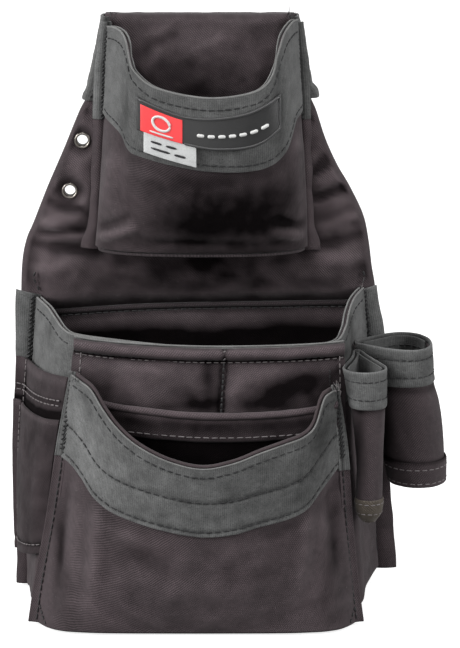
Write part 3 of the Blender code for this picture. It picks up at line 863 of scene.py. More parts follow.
def cord(name, points, radius, material, place, flatten=1.0, replaces=(), slot=None):
    """A soft eight-sided tube along points, narrowed at both ends."""
    sides = 8
    points = [Vector(point) for point in points]
    up = Vector((0, 0.4, 1)).normalized()
    last = len(points) - 1
    bm = bmesh.new()
    bm.loops.layers.uv.new("weave")
    rings, lengths, run = [], [], 0.0
    for i, point in enumerate(points):
        along = (points[min(i + 1, last)] - points[max(i - 1, 0)]).normalized()
        side = along.cross(up)
        if side.length < 1e-4:
            side = along.cross(Vector((1, 0, 0)))
        side.normalize()
        top = side.cross(along)
        size = radius * 0.45 if i in (0, last) else radius
        if i:
            run += (point - points[i - 1]).length
        lengths.append(run)
        ring = []
        for k in range(sides):
            turn = 2 * math.pi * k / sides
            ring.append(bm.verts.new(world(*(point + side * (size * flatten * math.cos(turn))
                                             + top * (size * math.sin(turn))))))
        rings.append(ring)
    add_quads(bm, rings, last, sides, weave=lambda i, j: (lengths[i], j * 0.9), flip=True)
    close_tube(bm, rings)
    dress(mesh_object(name, bm, material), place, replaces, slot)


def surface_cord(name, surface, spots, lift, radius, material, place, rise=0.0, **options):
    """A cord over (across, down) spots of a surface."""
    points = [point + Vector((0, 0, rise)) for point, _ in path_above(surface, spots, lift)]
    cord(name, points, radius, material, place, **options)


def rim_cord(name, pocket, lift, rise, radius, material, place, count=110, **options):
    """A cord along a pocket's rim."""
    spots = [(across, 0.0) for across in spread(0.005, 0.995, count)]
    surface_cord(name, pocket, spots, lift, radius, material, place, rise=rise, **options)


def pocket_floor(pocket, left, right, rear, z, sag=0.8, inset=0.8, reach=0.99):
    """A floor between a straight rear edge and a pocket wall's foot, down from rear to front."""
    def surface(across, down):
        foot = pocket(mix(0.02, 0.98, across), reach)
        x = mix(mix(left, right, across), foot.x * reach, down)
        return Vector((x, mix(rear, foot.y - inset, down), z - sag * math.sin(math.pi * down)))
    return surface


# Bodies that pieces ride on, and joints between them.
ROOT = "back_assembly"
UPPER_BODY = "upper_pocket_face"
MAIN_BODY = "main_pocket_face"
UPPER = joint(ROOT, UPPER_BODY, (0, 22, -30), (0, 46, -30))
MAIN = joint(ROOT, MAIN_BODY, (0, 20, -200), (0, 57, -200))
FACE = joint(MAIN_BODY, "front_pocket_body", (0, 74, -230), (0, 98, -230))

# ------------------------------------------------------------------ back panel
# The panel's outline: (z, x).
BACK_LEFT = [(-288, -105.5), (-260, -104.5), (-150, -103), (-110, -102.3), (-91, -101),
             (-80, -98.5), (-72, -95), (-62, -91), (-50, -86.2), (-29, -77), (-6, -67.4),
             (0, -64.2), (8, -61.4), (24, -57.6), (46, -52.8)]
BACK_RIGHT = [(-288, 112), (-272, 111), (-224, 107.6), (-150, 103.5), (-108, 99.8), (-96, 97.8),
              (-82, 96), (-67, 92.8), (-50, 84.8), (-38, 77.8), (-23, 71), (-6, 65.4),
              (2, 62.0), (25, 57.6), (46, 53.6)]
EYELETS = {"upper": (-66.1, -23.3), "lower": (-73.5, -52.3)}  # (x, z)
PADDING_TOP, PADDING_BOTTOM = 47.5, -118.0
# Half widths, (z, x), of the lines on which the upper pocket's seams hold the padding.
PRESSED_SEAM = [(-86, 58), (-20, 54), (45, 51)]
PINNED_SEAM = [(-86, 60), (-20, 56), (45, 52)]
# Folds fanning out of the upper pocket's lower corners and across the sides.
BACK_FOLDS = [
    (-64, -62, -84, -62, 2.0, -2.2), (-62, -74, -92, -76, 2.2, -2.6),
    (-64, -68, -88, -69, 3.4, 2.2), (62, -44, 84, -30, 2.0, -2.4),
    (62, -58, 90, -48, 2.2, -2.6), (62, -51, 88, -40, 3.2, 2.2),
    (-63, -80, -97, -66, 3.2, 2.4), (-62, -86, -99, -82, 3.4, -2.6),
    (-64, -90, -98, -98, 4.0, 1.8), (-60, -60, -88, -44, 3.0, 1.6),
    (-61, -66, -90, -56, 2.6, -1.7), (62, -40, 82, -24, 2.6, -2.6),
    (61, -48, 86, -33, 3.2, 2.4), (62, -56, 88, -47, 3.0, -2.0),
    (63, -76, 96, -62, 3.4, 2.6), (64, -84, 98, -76, 3.2, -2.8),
    (62, -90, 99, -90, 4.4, 2.0), (60, -12, 72, -4, 2.4, -1.5),
    (-60, -8, -70, 0, 2.4, -1.2), (-36, 26, -10, 40, 3.4, -1.6),
    (-34, 14, -22, 32, 4.0, 1.6)]
# Painted shade (below 0) and painted light (above 0) on the padding: (x, z, half width, half
# height, turn in degrees, amount).
BACK_SHADE = [
    (0, -98, 66, 13, 0, -1.1), (-50, -104, 14, 5, 10, 0.2), (74, -92, 12, 5, 15, 0.25),
    (84, -72, 8, 14, -20, 0.2), (66, -100, 14, 4, 0, -0.3), (-88, -82, 6, 12, 10, 0.15),
    (0, 34, 34, 7, 0, 0.1), (-28, 12, 8, 20, 10, -0.2), (36, 14, 8, 20, -8, -0.25),
    (-60, -60, 5, 12, 10, -0.4), (62, -42, 5, 20, -5, -0.4)]
# The seam between the padding and the lower panel drops a little to the left: (x, z).
LOWER_SEAM = [(-92, -124.2), (-78, -123.4), (-40, -120.8), (3, -119.4), (45, -118.8),
              (90, -118.0)]


def back_edges(z):
    return ease(z, BACK_LEFT), ease(z, BACK_RIGHT)


def eyelet_bells(x, z, width):
    return [math.exp(-((math.hypot(x - eye_x, z - eye_z) / width) ** 4))
            for eye_x, eye_z in EYELETS.values()]


def dimple(x, z):
    """The eyelets pinch the padding."""
    return sum(eyelet_bells(x, z, 8.0))


def seam_z(x):
    return ease(x, LOWER_SEAM)


def puff(x, z):
    """How far the padding stands proud of its plane, in mm."""
    left, right = back_edges(z)
    edge = min(x - left, right - x)
    height = 2.4 * smooth(edge, 0, 16)
    height *= 1 - 0.75 * smooth(z, 20, 47)
    # The upper pocket's seams pull the padding down.
    if z > -92:
        for side in (-1, 1):
            seam = side * ease(z, PRESSED_SEAM)
            height -= 2.2 * bell(x, seam, 5.5) * smooth(z, -95, -82)
    height += folds(x, z, BACK_FOLDS)
    height += 1.5 * fbm(x * 0.04, z * 0.05, 3.1) + 0.35 * fbm(x * 0.14, z * 0.18, 7.7)
    # Below the pocket a broad roll, which dives into the seam above the main pocket.
    height += 3.0 * bell(z, -99, 10) * smooth(edge, 2, 18)
    height -= 5.0 * smooth(z, -109.5, -117.5)
    return mix(height, -2.4, min(dimple(x, z), 1.0))


def back_shell(name, z_top, z_bottom, front, rear, rows, bump, tone, round_over=5.0,
               replaces=()):
    """A padded panel: a flat tube with rounded sides, closed above and below.

    bump and tone are functions of (x, z); the tone is painted light and shade."""
    half = (front - rear) / 2
    centre = (front + rear) / 2
    columns, rear_columns, side_steps = 84, 60, 7
    levels = spread(z_top, z_bottom, rows)
    heights = np.zeros((columns + 1, rows + 1))
    tones = np.zeros((columns + 1, rows + 1))
    for j, z in enumerate(levels):
        left, right = back_edges(z)
        for k, x in enumerate(spread(left + half, right - half, columns)):
            heights[k, j] = bump(x, z)
            tones[k, j] = tone(x, z)
    around = blur(heights, 7.0 / 2.3, 7.0 / (levels[0] - levels[1]))
    # Painted light and shade: the tone, plus raised padding paler and hollows darker.
    painted_shading = np.clip(np.clip((heights - around) / 1.8, -0.6, 0.6) + tones, -1.2, 1.2)
    bm = bmesh.new()
    bm.loops.layers.uv.new("weave")
    layer = bm.verts.layers.float.new("painted_shading")
    rings, weaves = [], []

    def add(x, depth, z, weave_x, shading=0.0):
        fall = (seam_z(x) + 118.8) * (smooth(-z, 98, 118.6) if z > -118.8
                                      else 1 - smooth(-z, 119, 150))
        vert = bm.verts.new(world(x, depth, z + fall))
        vert[layer] = shading
        rings[-1].append(vert)
        weaves[-1].append((weave_x, z))

    for j, z in enumerate(levels):
        rings.append([])
        weaves.append([])
        left, right = back_edges(z)
        near = min(z_top - z, z - z_bottom)
        squeeze = math.sqrt(clamp(1 - (1 - clamp(near / round_over)) ** 2, 0.08, 1.0))

        def round_side(side, middle_x):
            for k in range(1, side_steps):
                t = k / side_steps
                x = middle_x + side * half * math.sin(math.pi * t)
                depth = centre + side * half * squeeze * math.cos(math.pi * t)
                add(x, depth, z, x + side * 3 * t)

        for k, x in enumerate(spread(left + half, right - half, columns)):
            add(x, centre + half * squeeze + heights[k, j] * squeeze, z, x, painted_shading[k, j])
        round_side(1, right - half)
        for x in spread(right - half, left + half, rear_columns):
            add(x, centre - half * squeeze + 2.6 * dimple(x, z), z, 400 - x)
        round_side(-1, left + half)
    around_count = len(rings[0])
    add_quads(bm, rings, rows, around_count, weave=lambda i, j: weaves[i][j % around_count])
    for ring in (rings[0], rings[-1]):
        bm.faces.new(ring)
    bmesh.ops.triangulate(bm, faces=[face for face in bm.faces if len(face.verts) > 4])
    obj = mesh_object(name, bm, FABRIC)
    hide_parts(*replaces)
    return obj


def punch_eyelets(obj, radius=4.0):
    for x, z in EYELETS.values():
        bm = bmesh.new()
        bmesh.ops.create_cone(bm, cap_ends=True, segments=28, radius1=radius * MM,
                              radius2=radius * MM, depth=0.08,
                              matrix=Matrix.Translation(world(x, 12, z))
                              @ Matrix.Rotation(math.pi / 2, 4, "X"))
        cutter = mesh_object("punch", bm, outward=False)
        modifier = obj.modifiers.new("hole", "BOOLEAN")
        modifier.operation = "DIFFERENCE"
        modifier.solver = "EXACT"
        modifier.object = cutter
        apply_modifiers(obj)
        discard(cutter)


def back_plane(across, down):
    z = mix(PADDING_TOP, PADDING_BOTTOM, down)
    left, right = back_edges(z)
    return Vector((mix(left + 4, right - 4, across), 17.0, z))


def back_pin(across, down, point):
    edge = min(across, 1 - across, down, 1 - down)
    held = 1 - smooth(edge, 0.0, 0.025)
    if point.z > -84:
        for side in (-1, 1):
            held = max(held, bell(point.x, side * ease(point.z, PINNED_SEAM), 2.6))
    return max(held, *eyelet_bells(point.x, point.z, 6.5))


back_fill = settle(back_plane, cells=(64, 60), pin=back_pin, pressure=0.7, spare=0.06,
                   frames=18, bend=0.35, limit=(-1.5, 6.0))


def back_bump(x, z):
    left, right = back_edges(z)
    across = (x - left - 4) / (right - left - 8)
    down = (PADDING_TOP - z) / (PADDING_TOP - PADDING_BOTTOM)
    return puff(x, z) * 0.85 + back_fill(across, down) * 0.55


def lower_bump(x, z):
    height = 2.2 * bell(z, -128, 8)
    height += 1.2 * fbm(x * 0.03, z * 0.04, 9.0)
    height += 0.8 * math.sin(x * 0.07 + 1.0) * bell(z, -132, 12)
    return height * smooth(z, -118.2, -123)


# Painted shade, deepening down into the main pocket, with a little painted light just below the
# seam.
def lower_tone(x, z):
    return -0.3 - 1.0 * smooth(-z, 121, 137) + shade(x, z, [(-30, -122, 30, 4, 0, 0.2)])


back = back_shell("back_padding_cover", 48.2, -118.6, front=17.0, rear=8.9, rows=96,
                  bump=back_bump, tone=lambda x, z: shade(x, z, BACK_SHADE),
                  replaces=("back_upper_padding", "back_lower_fold", "back_panel_foam",
                            "back_panel_front_fabric", "back_panel_rear_fabric"))
punch_eyelets(back)
hold(back, ROOT)
hold(back_shell("back_lower_panel", -119.0, -286.5, front=16.2, rear=8.6, rows=60,
                bump=lower_bump, tone=lower_tone, round_over=2.5), ROOT)

stitches("seam_stitches_lower_back",
         [[(Vector((x, 18.7, seam_z(x) - 0.9)), Vector((0, 0.9, 0.3)))
           for x in spread(-84, 86, 80)]],
         THREAD, ROOT, seed=5, pitch=4.0, length=3.0, radius=0.5)
# The roll in the padding's shadow wears the darker nylon: painted shade.
cord("lower_back_seam_roll", [(x, 16.0, seam_z(x) + 0.9) for x in spread(-92, 92, 60)], 1.5,
     SHADED_FABRIC, ROOT)

# Stitch tails that run down the padding's sides into the main pocket's tapes.
for side, tail_x, word in ((-1, -93.0, "left"), (1, 92.0, "right")):
    tail = []
    for t in spread(0, 1, 12):
        z = mix(-97, -110, t)
        tail.append((Vector((tail_x + side * 1.5 * math.sin(t * 5), 18.4 + puff(tail_x, z), z)),
                     FRONT))
    stitches(f"side_stitch_tail_{word}", [tail], THREAD, ROOT, seed=8, pitch=3.6, length=3.0,
             radius=0.5)


def lathe(name, x, z, profile, replaces):
    """A nickel ring about the forward axis through (x, z); profile: (radius, depth)."""
    sides = 40
    bm = bmesh.new()
    rings = [[bm.verts.new(world(x + radius * math.cos(2 * math.pi * k / sides), depth,
                                 z + radius * math.sin(2 * math.pi * k / sides)))
              for k in range(sides)] for radius, depth in profile]
    add_quads(bm, rings, len(rings), sides, flip=True)
    dress(mesh_object(name, bm, NICKEL), ROOT, replaces)


# A rolled lip with a short barrel in front, a washer behind: (radius, depth).
EYELET_LIP = [(3.1, 11.6), (3.1, 15.2), (3.35, 15.9), (3.8, 16.2), (4.3, 16.1), (4.7, 15.6),
              (4.85, 14.9), (4.6, 14.6), (3.6, 14.8), (3.45, 11.6)]
EYELET_WASHER = [(3.1, 11.8), (3.1, 10.4), (3.4, 10.0), (4.4, 10.0), (5.0, 10.4), (5.0, 10.9),
                 (4.4, 11.3), (3.5, 11.8)]
for word, (x, z) in EYELETS.items():
    lathe(f"eyelet_lip_{word}", x, z, EYELET_LIP, [f"eyelet_{word}_barrel"])
    lathe(f"eyelet_washer_{word}", x, z, EYELET_WASHER, [f"eyelet_{word}_washer"])


# ------------------------------------------------------------------ top fold, wraps, belt loop
def top_fold(across, down):
    """The cover folds over the top edge and down the rear."""
    turn = math.pi * mix(0.52, 1.0, clamp(down * 2))
    drop = 9.0 * clamp(down * 2 - 1)
    return Vector((mix(-52.5, 53.0, across), 11.6 + 4.9 * math.cos(turn),
                   43.6 + 4.4 * math.sin(turn) - drop))


cloth("top_fold", top_fold, cells=(60, 14), thick=1.4, material=FABRIC, place=ROOT,
      facing=Vector((0, 0, 1)),
      bump=lambda across, down, point: 0.3 * fbm(point.x * 0.08, down * 3, 2.0),
      replaces=["top_fold_binding"], slot="binding_tape")


def edge_wrap(side):
    """Webbing wrapped round the panel's upper side edge, across from front to rear."""
    def surface(across, down):
        z = mix(PADDING_TOP, 0.2 if side < 0 else 1.6, down)
        left, right = back_edges(z)
        if side < 0:
            outer = left - mix(0.4, 0.0, down)
        else:
            # The right wrap's lower outer corner sticks out a little.
            outer = right + mix(0.4, 0.8, down) + 2.4 * smooth(down, 0.84, 0.93)
        inner = outer - side * mix(3.0, 12.0, down)
        outline = [(inner, 19.4), (mix(inner, outer, 0.6), 19.6), (outer, 18.2),
                   (outer + side * 1.2, 13.0), (outer, 8.0), (inner, 6.9)]
        return spline([Vector((x, depth, z)) for x, depth in outline], across)
    return surface


for side, word in ((-1, "left"), (1, "right")):
    wrap = edge_wrap(side)
    outward = Vector((side, 0.6, 0))
    # The wraps wear the darker webbing, painted shade, with a painted shade line on the front and
    # painted light over the rounded edge.
    cloth(f"edge_wrap_{word}", wrap, cells=(26, 40), thick=1.4, material=SHADED_WEBBING,
          place=ROOT, facing=outward,
          bump=lambda across, down, point: 0.45 * fbm(across * 4, down * 9, 4.0 + side),
          tone=lambda across, down, point: -0.5 * bell(across, 0.16, 0.06)
          + 0.5 * smooth(across, 0.35, 0.45) * (1 - smooth(across, 0.5, 0.6)),
          replaces=[f"top_wrap_{word}"])
    stitches(f"edge_wrap_stitches_{word}",
             [column(wrap, across, 0.06, 0.97, 0.8, outward) for across in (0.1, 0.27)],
             THREAD, ROOT, seed=11, pitch=3.4, length=2.7, radius=0.5, tilt=0.35)
    stitches(f"edge_wrap_rear_stitches_{word}",
             [column(wrap, 0.86, 0.06, 0.97, 0.8, Vector((side * 0.3, -1, 0)))],
             THREAD, ROOT, seed=12)

# (down, depth) of the belt loop's panel.
BELT_LOOP_DEPTH = [(0, 4.9), (0.06, 1.6), (0.2, 0.7), (0.8, 0.7), (0.94, 3.4), (1, 7.0)]


def belt_loop(across, down):
    return Vector((mix(-46, 46, across), ease(down, BELT_LOOP_DEPTH), mix(47.0, -51.0, down)))


def belt_loop_stay(across, down):
    return Vector((mix(-47, 47, across), 6.9 - 0.5 * math.sin(math.pi * down),
                   mix(-47.5, -63, down)))


cloth("belt_loop", belt_loop, cells=(60, 60), thick=1.8, material=FABRIC, place=ROOT,
      facing=REAR, bump=lambda across, down, point: 0.35 * fbm(point.x * 0.05, point.z * 0.06, 5.0)
      * math.sin(math.pi * down),
      replaces=["belt_loop_panel"])
for word, left, right in (("left", 0.0, 0.09), ("right", 0.91, 1.0)):
    cloth(f"belt_loop_edge_tape_{word}", section(belt_loop, left, right, 0.02, 0.985),
          cells=(6, 50), thick=1.0, material=WEBBING, place=ROOT, facing=REAR, lift=1.5)
stitches("belt_loop_stitches",
         [column(belt_loop, across, 0.04, 0.97, 2.1, REAR) for across in (0.02, 0.07, 0.93, 0.98)]
         + [row(belt_loop, 0.1, 0.9, down, 1.1, REAR) for down in (0.05, 0.95)],
         THREAD, ROOT, seed=13)
cloth("belt_loop_stay_web", belt_loop_stay, cells=(40, 8), thick=1.4, material=WEBBING,
      place=ROOT, facing=REAR, replaces=["belt_loop_stay"])
stitches("belt_loop_stay_stitches",
         [row(belt_loop_stay, 0.02, 0.98, down, 0.9, REAR) for down in (0.2, 0.82)],
         THREAD, ROOT, seed=14)

# ------------------------------------------------------------------ upper pocket
# The rim, from the left rear round the front to the right rear: (x, depth, z).
UPPER_RIM = [(-50.7, 22.2, 42.3), (-46.0, 31, 43.2), (-41.2, 42.0, 42.2), (-38.6, 48.2, 37.6),
             (-37.2, 50.3, 28.6), (-33.8, 52.8, 21.4), (-22, 57.4, 13.6), (3.2, 60.2, 9.0),
             (24, 58.8, 10.4), (35.2, 56, 14.6), (41.0, 52, 24), (43.6, 50, 36),
             (45.8, 45, 42.4), (50.4, 31.5, 46.2), (53.8, 22.2, 46.2)]
# Sections below it at the given share of the way down: (x, depth).
UPPER_SECTIONS = {
    0.3: [(-52.4, 22.2), (-48.6, 33), (-43.4, 45.2), (-40.4, 49.6), (-38.0, 52.2),
          (-32.5, 56.0), (-18, 60.6), (3.4, 63.0), (24, 62.0), (37, 58.6), (44.6, 54.0),
          (48.0, 50.0), (50.8, 43), (54.2, 31.5), (55.6, 22.2)],
    0.5: [(-54.0, 22.2), (-50.8, 32.5), (-45.8, 42.8), (-41.6, 47.8), (-37.6, 51.6),
          (-30, 55.2), (-16, 59.0), (3.4, 61.2), (23, 60.0), (37, 56.4), (46.0, 51.6),
          (50.4, 46.6), (53.4, 40), (56.4, 31), (57.0, 22.2)],
    0.75: [(-56, 22.2), (-54.6, 30), (-51.4, 37.2), (-46.5, 43.2), (-39, 47.8), (-29, 51),
           (-14, 53.2), (3.4, 54.2), (22, 53.4), (36, 50.8), (45.5, 47), (51.6, 42),
           (56, 36), (59.0, 29), (58.6, 22.2)],
    1.0: [(-58, 22.2), (-58.4, 26), (-56.6, 30.5), (-52, 35), (-42.5, 39.4), (-31, 42),
          (-14, 43.8), (3, 44.4), (22, 43.8), (36, 42), (47, 38.8), (54.6, 34.5),
          (58.8, 30), (60.2, 26), (59, 22.2)],
}
UPPER_FLOOR = -81.5
# The band's lower edge, z at each rim point.
UPPER_BAND = [-5.0, -8.0, -10.6, -14.5, -21.6, -24.2, -27.4, -30.6, -31.4, -29.4, -23.5, -15.0,
              -7.0, -4.6, -3.9]
# Side folds, then the bottom corners tucked into the seams, then the floor seam and belly.
UPPER_FOLDS = [(-46, -24, -52, -60, 4.0, 1.8), (52, -14, 54, -56, 3.6, 1.2),
               (-57, -76, -34, -66, 2.6, 1.9), (-56, -70, -36, -58, 2.8, -1.5),
               (58, -74, 38, -68, 2.8, 1.9), (58, -68, 40, -60, 2.8, -1.4),
               (-30, -74, 34, -75, 3.0, -1.1), (-24, -50, 30, -56, 10.0, 1.2)]
# Painted shade (below 0) and painted light (above 0) on the wall and on the band.
UPPER_SHADE = [(4, -60, 34, 26, 0, -1.1), (42, -58, 21, 30, -4, -0.62),
               (-10, -38, 22, 5, 0, -0.35), (-40, -66, 10, 8, 30, 0.3),
               (-46, -44, 5, 16, -5, 0.25), (-28, -52, 6, 10, 20, 0.2),
               (20, -74, 20, 3, 5, 0.35), (56, -60, 4, 18, -6, 0.3)]
UPPER_BAND_SHADE = [(44, -2, 3, 18, 0, -0.5), (-40, -4, 2.5, 16, 0, -0.4),
                    (0, -26, 40, 4, 0, -0.1), (-48, 12, 4, 30, -5, 0.1)]
BAND_LIFT = 1.25
STITCH_LIFT = BAND_LIFT + 0.55

upper = Pocket([(0.0, UPPER_RIM)]
               + [(share, [(x, depth, mix(top[2], UPPER_FLOOR, share))
                           for (x, depth), top in zip(points, UPPER_RIM)])
                  for share, points in UPPER_SECTIONS.items()],
               rim=[point[2] for point in UPPER_RIM], floor=UPPER_FLOOR, band=UPPER_BAND)
upper_fill = settle(upper, cells=(64, 44), pin=upper.pin, pressure=0.5, spare=0.07, frames=16,
                    bend=0.3, limit=(-1.8, 2.6))


def upper_bump(across, down, point):
    x, z = point.x, point.z
    height = 0.6 * fbm(x * 0.05, z * 0.04, 1.0) + 0.2 * fbm(x * 0.2, z * 0.18, 2.0)
    height += folds(x, z, UPPER_FOLDS) + upper_fill(across, down) * 0.45
    height *= smooth(upper.under_band(across, point), -3.0, 9.0)
    return (height * smooth(down, 0.0, 0.2) * (1 - smooth(down, 0.97, 1.0))
            * smooth(min(across, 1 - across), 0.0, 0.1))


cloth("upper_pocket_wall", upper, cells=(160, 90), thick=1.2, material=FABRIC, place=UPPER,
      bump=upper_bump, tone=patches(UPPER_SHADE), start=0.004,
      replaces=["upper_pocket_front", "upper_pocket_gusset_left", "upper_pocket_gusset_right"])
cloth("upper_pocket_webbing", upper, cells=(160, 34), thick=1.0, material=WEBBING, place=UPPER,
      lift=BAND_LIFT, end=upper.above_band(), tone=patches(UPPER_BAND_SHADE, base=-0.12),
      bump=lambda across, down, point: 0.28 * fbm(point.x * 0.09, point.z * 0.12, 6.0)
      * smooth(down, 0.0, 0.1),
      replaces=["upper_pocket_band", "upper_pocket_band_left", "upper_pocket_band_right"])
cloth("upper_pocket_lining_band", upper, cells=(160, 8), thick=0.8, material=EDGE, place=UPPER,
      lift=-1.15, end=upper.below_rim(9))
rim_cord("upper_pocket_edge_outer", upper, 1.35, rise=0.25, radius=0.55, material=EDGE,
         place=UPPER)
rim_cord("upper_pocket_edge_inner", upper, -1.1, rise=0.35, radius=0.5, material=EDGE,
         place=UPPER)
stitches("upper_band_stitches",
         [row(upper, 0.03, 0.97, line, STITCH_LIFT, count=120)
          for line in (upper.below_rim(6.2), upper.above_band(3.6))],
         THREAD, UPPER, seed=21)

# (z, x) of the upper pocket's side seams and (z, width) of its flanges.
UPPER_SEAM_LEFT = [(-86, -58), (-20, -54.2), (45, -51)]
UPPER_SEAM_RIGHT = [(-86, 59), (-20, 56.8), (45, 53.6)]
UPPER_FLANGE_WIDTH = [(-86, 9.6), (-80, 9.0), (-70, 6.0), (-30, 5.4), (20, 6.0), (44, 3.6)]


def upper_flange(side):
    """The seam allowance on the padding, across from the seam outwards."""
    def surface(across, down):
        z = mix(44.0, -84.5, down)
        seam = ease(z, UPPER_SEAM_LEFT if side < 0 else UPPER_SEAM_RIGHT)
        width = ease(z, UPPER_FLANGE_WIDTH)
        width += 0.7 * noise.noise(Vector((z * 0.09, side * 3.0, 0.0)))
        x = seam + side * mix(-1.2, width, across)
        depth = (21.4 + 1.6 * math.sin(math.pi * clamp(across * 1.05))
                 + 0.5 * noise.noise(Vector((z * 0.06, side * 5.0, 2.0))))
        z += (0.9 if side < 0 else -0.4) * across * smooth(down, 0.9, 1.0)
        return Vector((x, depth, z))
    return surface


for side, word in ((-1, "left"), (1, "right")):
    flange = upper_flange(side)
    cloth(f"upper_flange_{word}", flange, cells=(10, 80), thick=1.7, material=FABRIC,
          place=ROOT, bump=wrinkles(0.35, 0.1, 0.09, seed=12.0),
          replaces=[f"upper_pocket_flange_{word}"])
    # The right tape wears the darker webbing, painted shade; the tone paints shade along the seam
    # and light toward the outer edge.
    cloth(f"upper_flange_web_{word}", section(flange, 0.02, 1.06, -0.01, 0.415),
          cells=(10, 40), thick=1.2, material=WEBBING if side < 0 else SHADED_WEBBING,
          place=ROOT, lift=1.2,
          tone=lambda across, down, point: -0.85 * bell(across, 0.24, 0.13)
          + 0.2 * smooth(across, 0.5, 0.7),
          bump=lambda across, down, point: 0.3 * fbm(point.x * 0.15, point.z * 0.12, 14.0)
          - 0.5 * bell(across, 0.24, 0.12))
    stitches(f"upper_seam_stitches_{word}", [column(flange, 0.1, 0.43, 0.985, 1.0)],
             THREAD, ROOT, seed=31, pitch=4.2, length=3.2, radius=0.45)
    stitches(f"upper_seam_bartack_{word}",
             [column(flange, across, 0.02, 0.42, 2.2) for across in (0.14, 0.34)],
             THREAD, ROOT, seed=32, pitch=2.5, length=3.2, radius=0.72, tilt=0.9, jitter=0.5)

# The floor inside the pocket wears the darker nylon: painted shade.
cloth("upper_floor",
      pocket_floor(upper, -52, 53, rear=20.0, z=-83.2, inset=0.6, reach=0.985),
      cells=(50, 10), thick=1.6, material=SHADED_FABRIC, place=UPPER, facing=BELOW,
      replaces=["upper_pocket_floor"])

# ------------------------------------------------------------------ main pocket
# The rim (x, depth, z) and the foot (x, depth), left rear to right rear.
MAIN_RIM = [(-91.8, 20.6, -113), (-88.5, 30, -113.2), (-84, 39, -114.8), (-79.6, 48, -118.6),
            (-74.6, 55.6, -123.0), (-67.5, 60.4, -124.8), (-47, 64, -126.8),
            (-18, 66.2, -129.4), (8, 67, -130.4), (34, 66.2, -130.4), (58, 64, -130.0),
            (75.0, 60.4, -128.4), (80.2, 55.2, -122.0), (82.2, 48, -115.4),
            (85.0, 38.5, -110.4), (88.6, 29, -108.2), (92.0, 20.6, -107.4)]
MAIN_FOOT = [(-101, 20.6), (-99.6, 31), (-98, 43), (-96.6, 55), (-94.5, 65), (-84, 69),
             (-60, 71), (-25, 72.4), (0, 72.8), (25, 72.4), (60, 71), (82, 69), (91.5, 65),
             (94, 55), (97, 43), (100, 31), (103, 20.6)]
MAIN_FLOOR = -284.0
# Painted shade (below 0) and painted light (above 0) on the band.
MAIN_BAND_SHADE = [(84, -122, 2.5, 12, 10, -0.6), (89, -128, 4, 14, 0, 0.15),
                   (80, -136, 6, 8, 0, -0.7), (88, -146, 6, 8, 0, -0.5),
                   (-84, -128, 2, 8, -10, -0.45), (-78, -140, 5, 6, 0, -0.2)]

main = Pocket([(0.0, MAIN_RIM),
               (0.5, [((top[0] + x) / 2 - (1.2 if x < -90 else 0), (top[1] + depth) / 2 + 0.6,
                       (top[2] + MAIN_FLOOR) / 2)
                      for (x, depth), top in zip(MAIN_FOOT, MAIN_RIM)]),
               (1.0, [(x, depth, MAIN_FLOOR) for x, depth in MAIN_FOOT])],
              rim=[point[2] for point in MAIN_RIM], floor=MAIN_FLOOR)


def main_bump(across, down, point):
    height = (0.7 * fbm(point.x * 0.04 + point.y * 0.05, point.z * 0.04, 21.0)
              + 0.2 * fbm(point.y * 0.2, point.z * 0.16, 22.0))
    return height * smooth(down, 0.0, 0.15) * (1 - smooth(down, 0.95, 1.0))


# Painted shade along the band's ends, deeper on the right.
def main_band_tone(across, down, point):
    edge = bell(min(across, 1 - across), 0, 0.03)
    return shade(point.x, point.z, MAIN_BAND_SHADE) - (0.5 if across > 0.6 else 0.25) * edge


cloth("main_pocket_wall", main, cells=(150, 80), thick=1.2, material=FABRIC, place=MAIN,
      bump=main_bump, replaces=["main_pocket_front", "main_pocket_gusset_left",
                                "main_pocket_gusset_right"])
cloth("main_pocket_webbing", main, cells=(150, 30), thick=1.0, material=WEBBING, place=MAIN,
      lift=BAND_LIFT, end=main.below_rim(38), tone=main_band_tone,
      bump=lambda across, down, point: 0.45 * smooth(down, 0.0, 0.08)
      * fbm(point.y * 0.12 + point.x * 0.05, point.z * 0.1, 16.0),
      replaces=["main_pocket_band_left", "main_pocket_band_right", "main_pocket_rim_band"])
cloth("main_pocket_lining_band", main, cells=(150, 6), thick=0.8, material=EDGE, place=MAIN,
      lift=-1.15, end=main.below_rim(7))
rim_cord("main_pocket_edge_outer", main, 1.35, rise=0.2, radius=0.55, material=EDGE,
         place=MAIN, slot="binding_tape")
rim_cord("main_pocket_edge_inner", main, -1.1, rise=0.3, radius=0.5, material=EDGE, place=MAIN)
stitches("main_band_stitches",
         [row(main, start, end, main.below_rim(5.6), STITCH_LIFT, count=50)
          for start, end in ((0.03, 0.29), (0.71, 0.97))],
         THREAD, MAIN, seed=41)

# (z, x) of the main pocket's side seams.
MAIN_SEAM_LEFT = [(-285, -100.2), (-150, -96.6), (-112, -92.6)]
MAIN_SEAM_RIGHT = [(-285, 102.4), (-150, 94.8), (-108, 92.0)]


def main_flange(side):
    """The side flange outside the main pocket's seam, across from the seam outwards."""
    def surface(across, down):
        top = -107.0 - 2.6 * (1 - across) if side > 0 else -109.4 - 3.2 * (1 - across)
        z = mix(top, -285.5, down)
        left, right = back_edges(z)
        if side < 0:
            seam, outer = ease(z, MAIN_SEAM_LEFT), left - 1.9
        else:
            seam, outer = ease(z, MAIN_SEAM_RIGHT), right + 1.9 - 2.0 * smooth(z, -130, -108)
        outer += 0.5 * noise.noise(Vector((z * 0.07, side * 4.0, 1.0)))
        return Vector((mix(seam - side * 1.5, outer, across),
                       18.6 + 1.2 * math.sin(math.pi * across), z))
    return surface


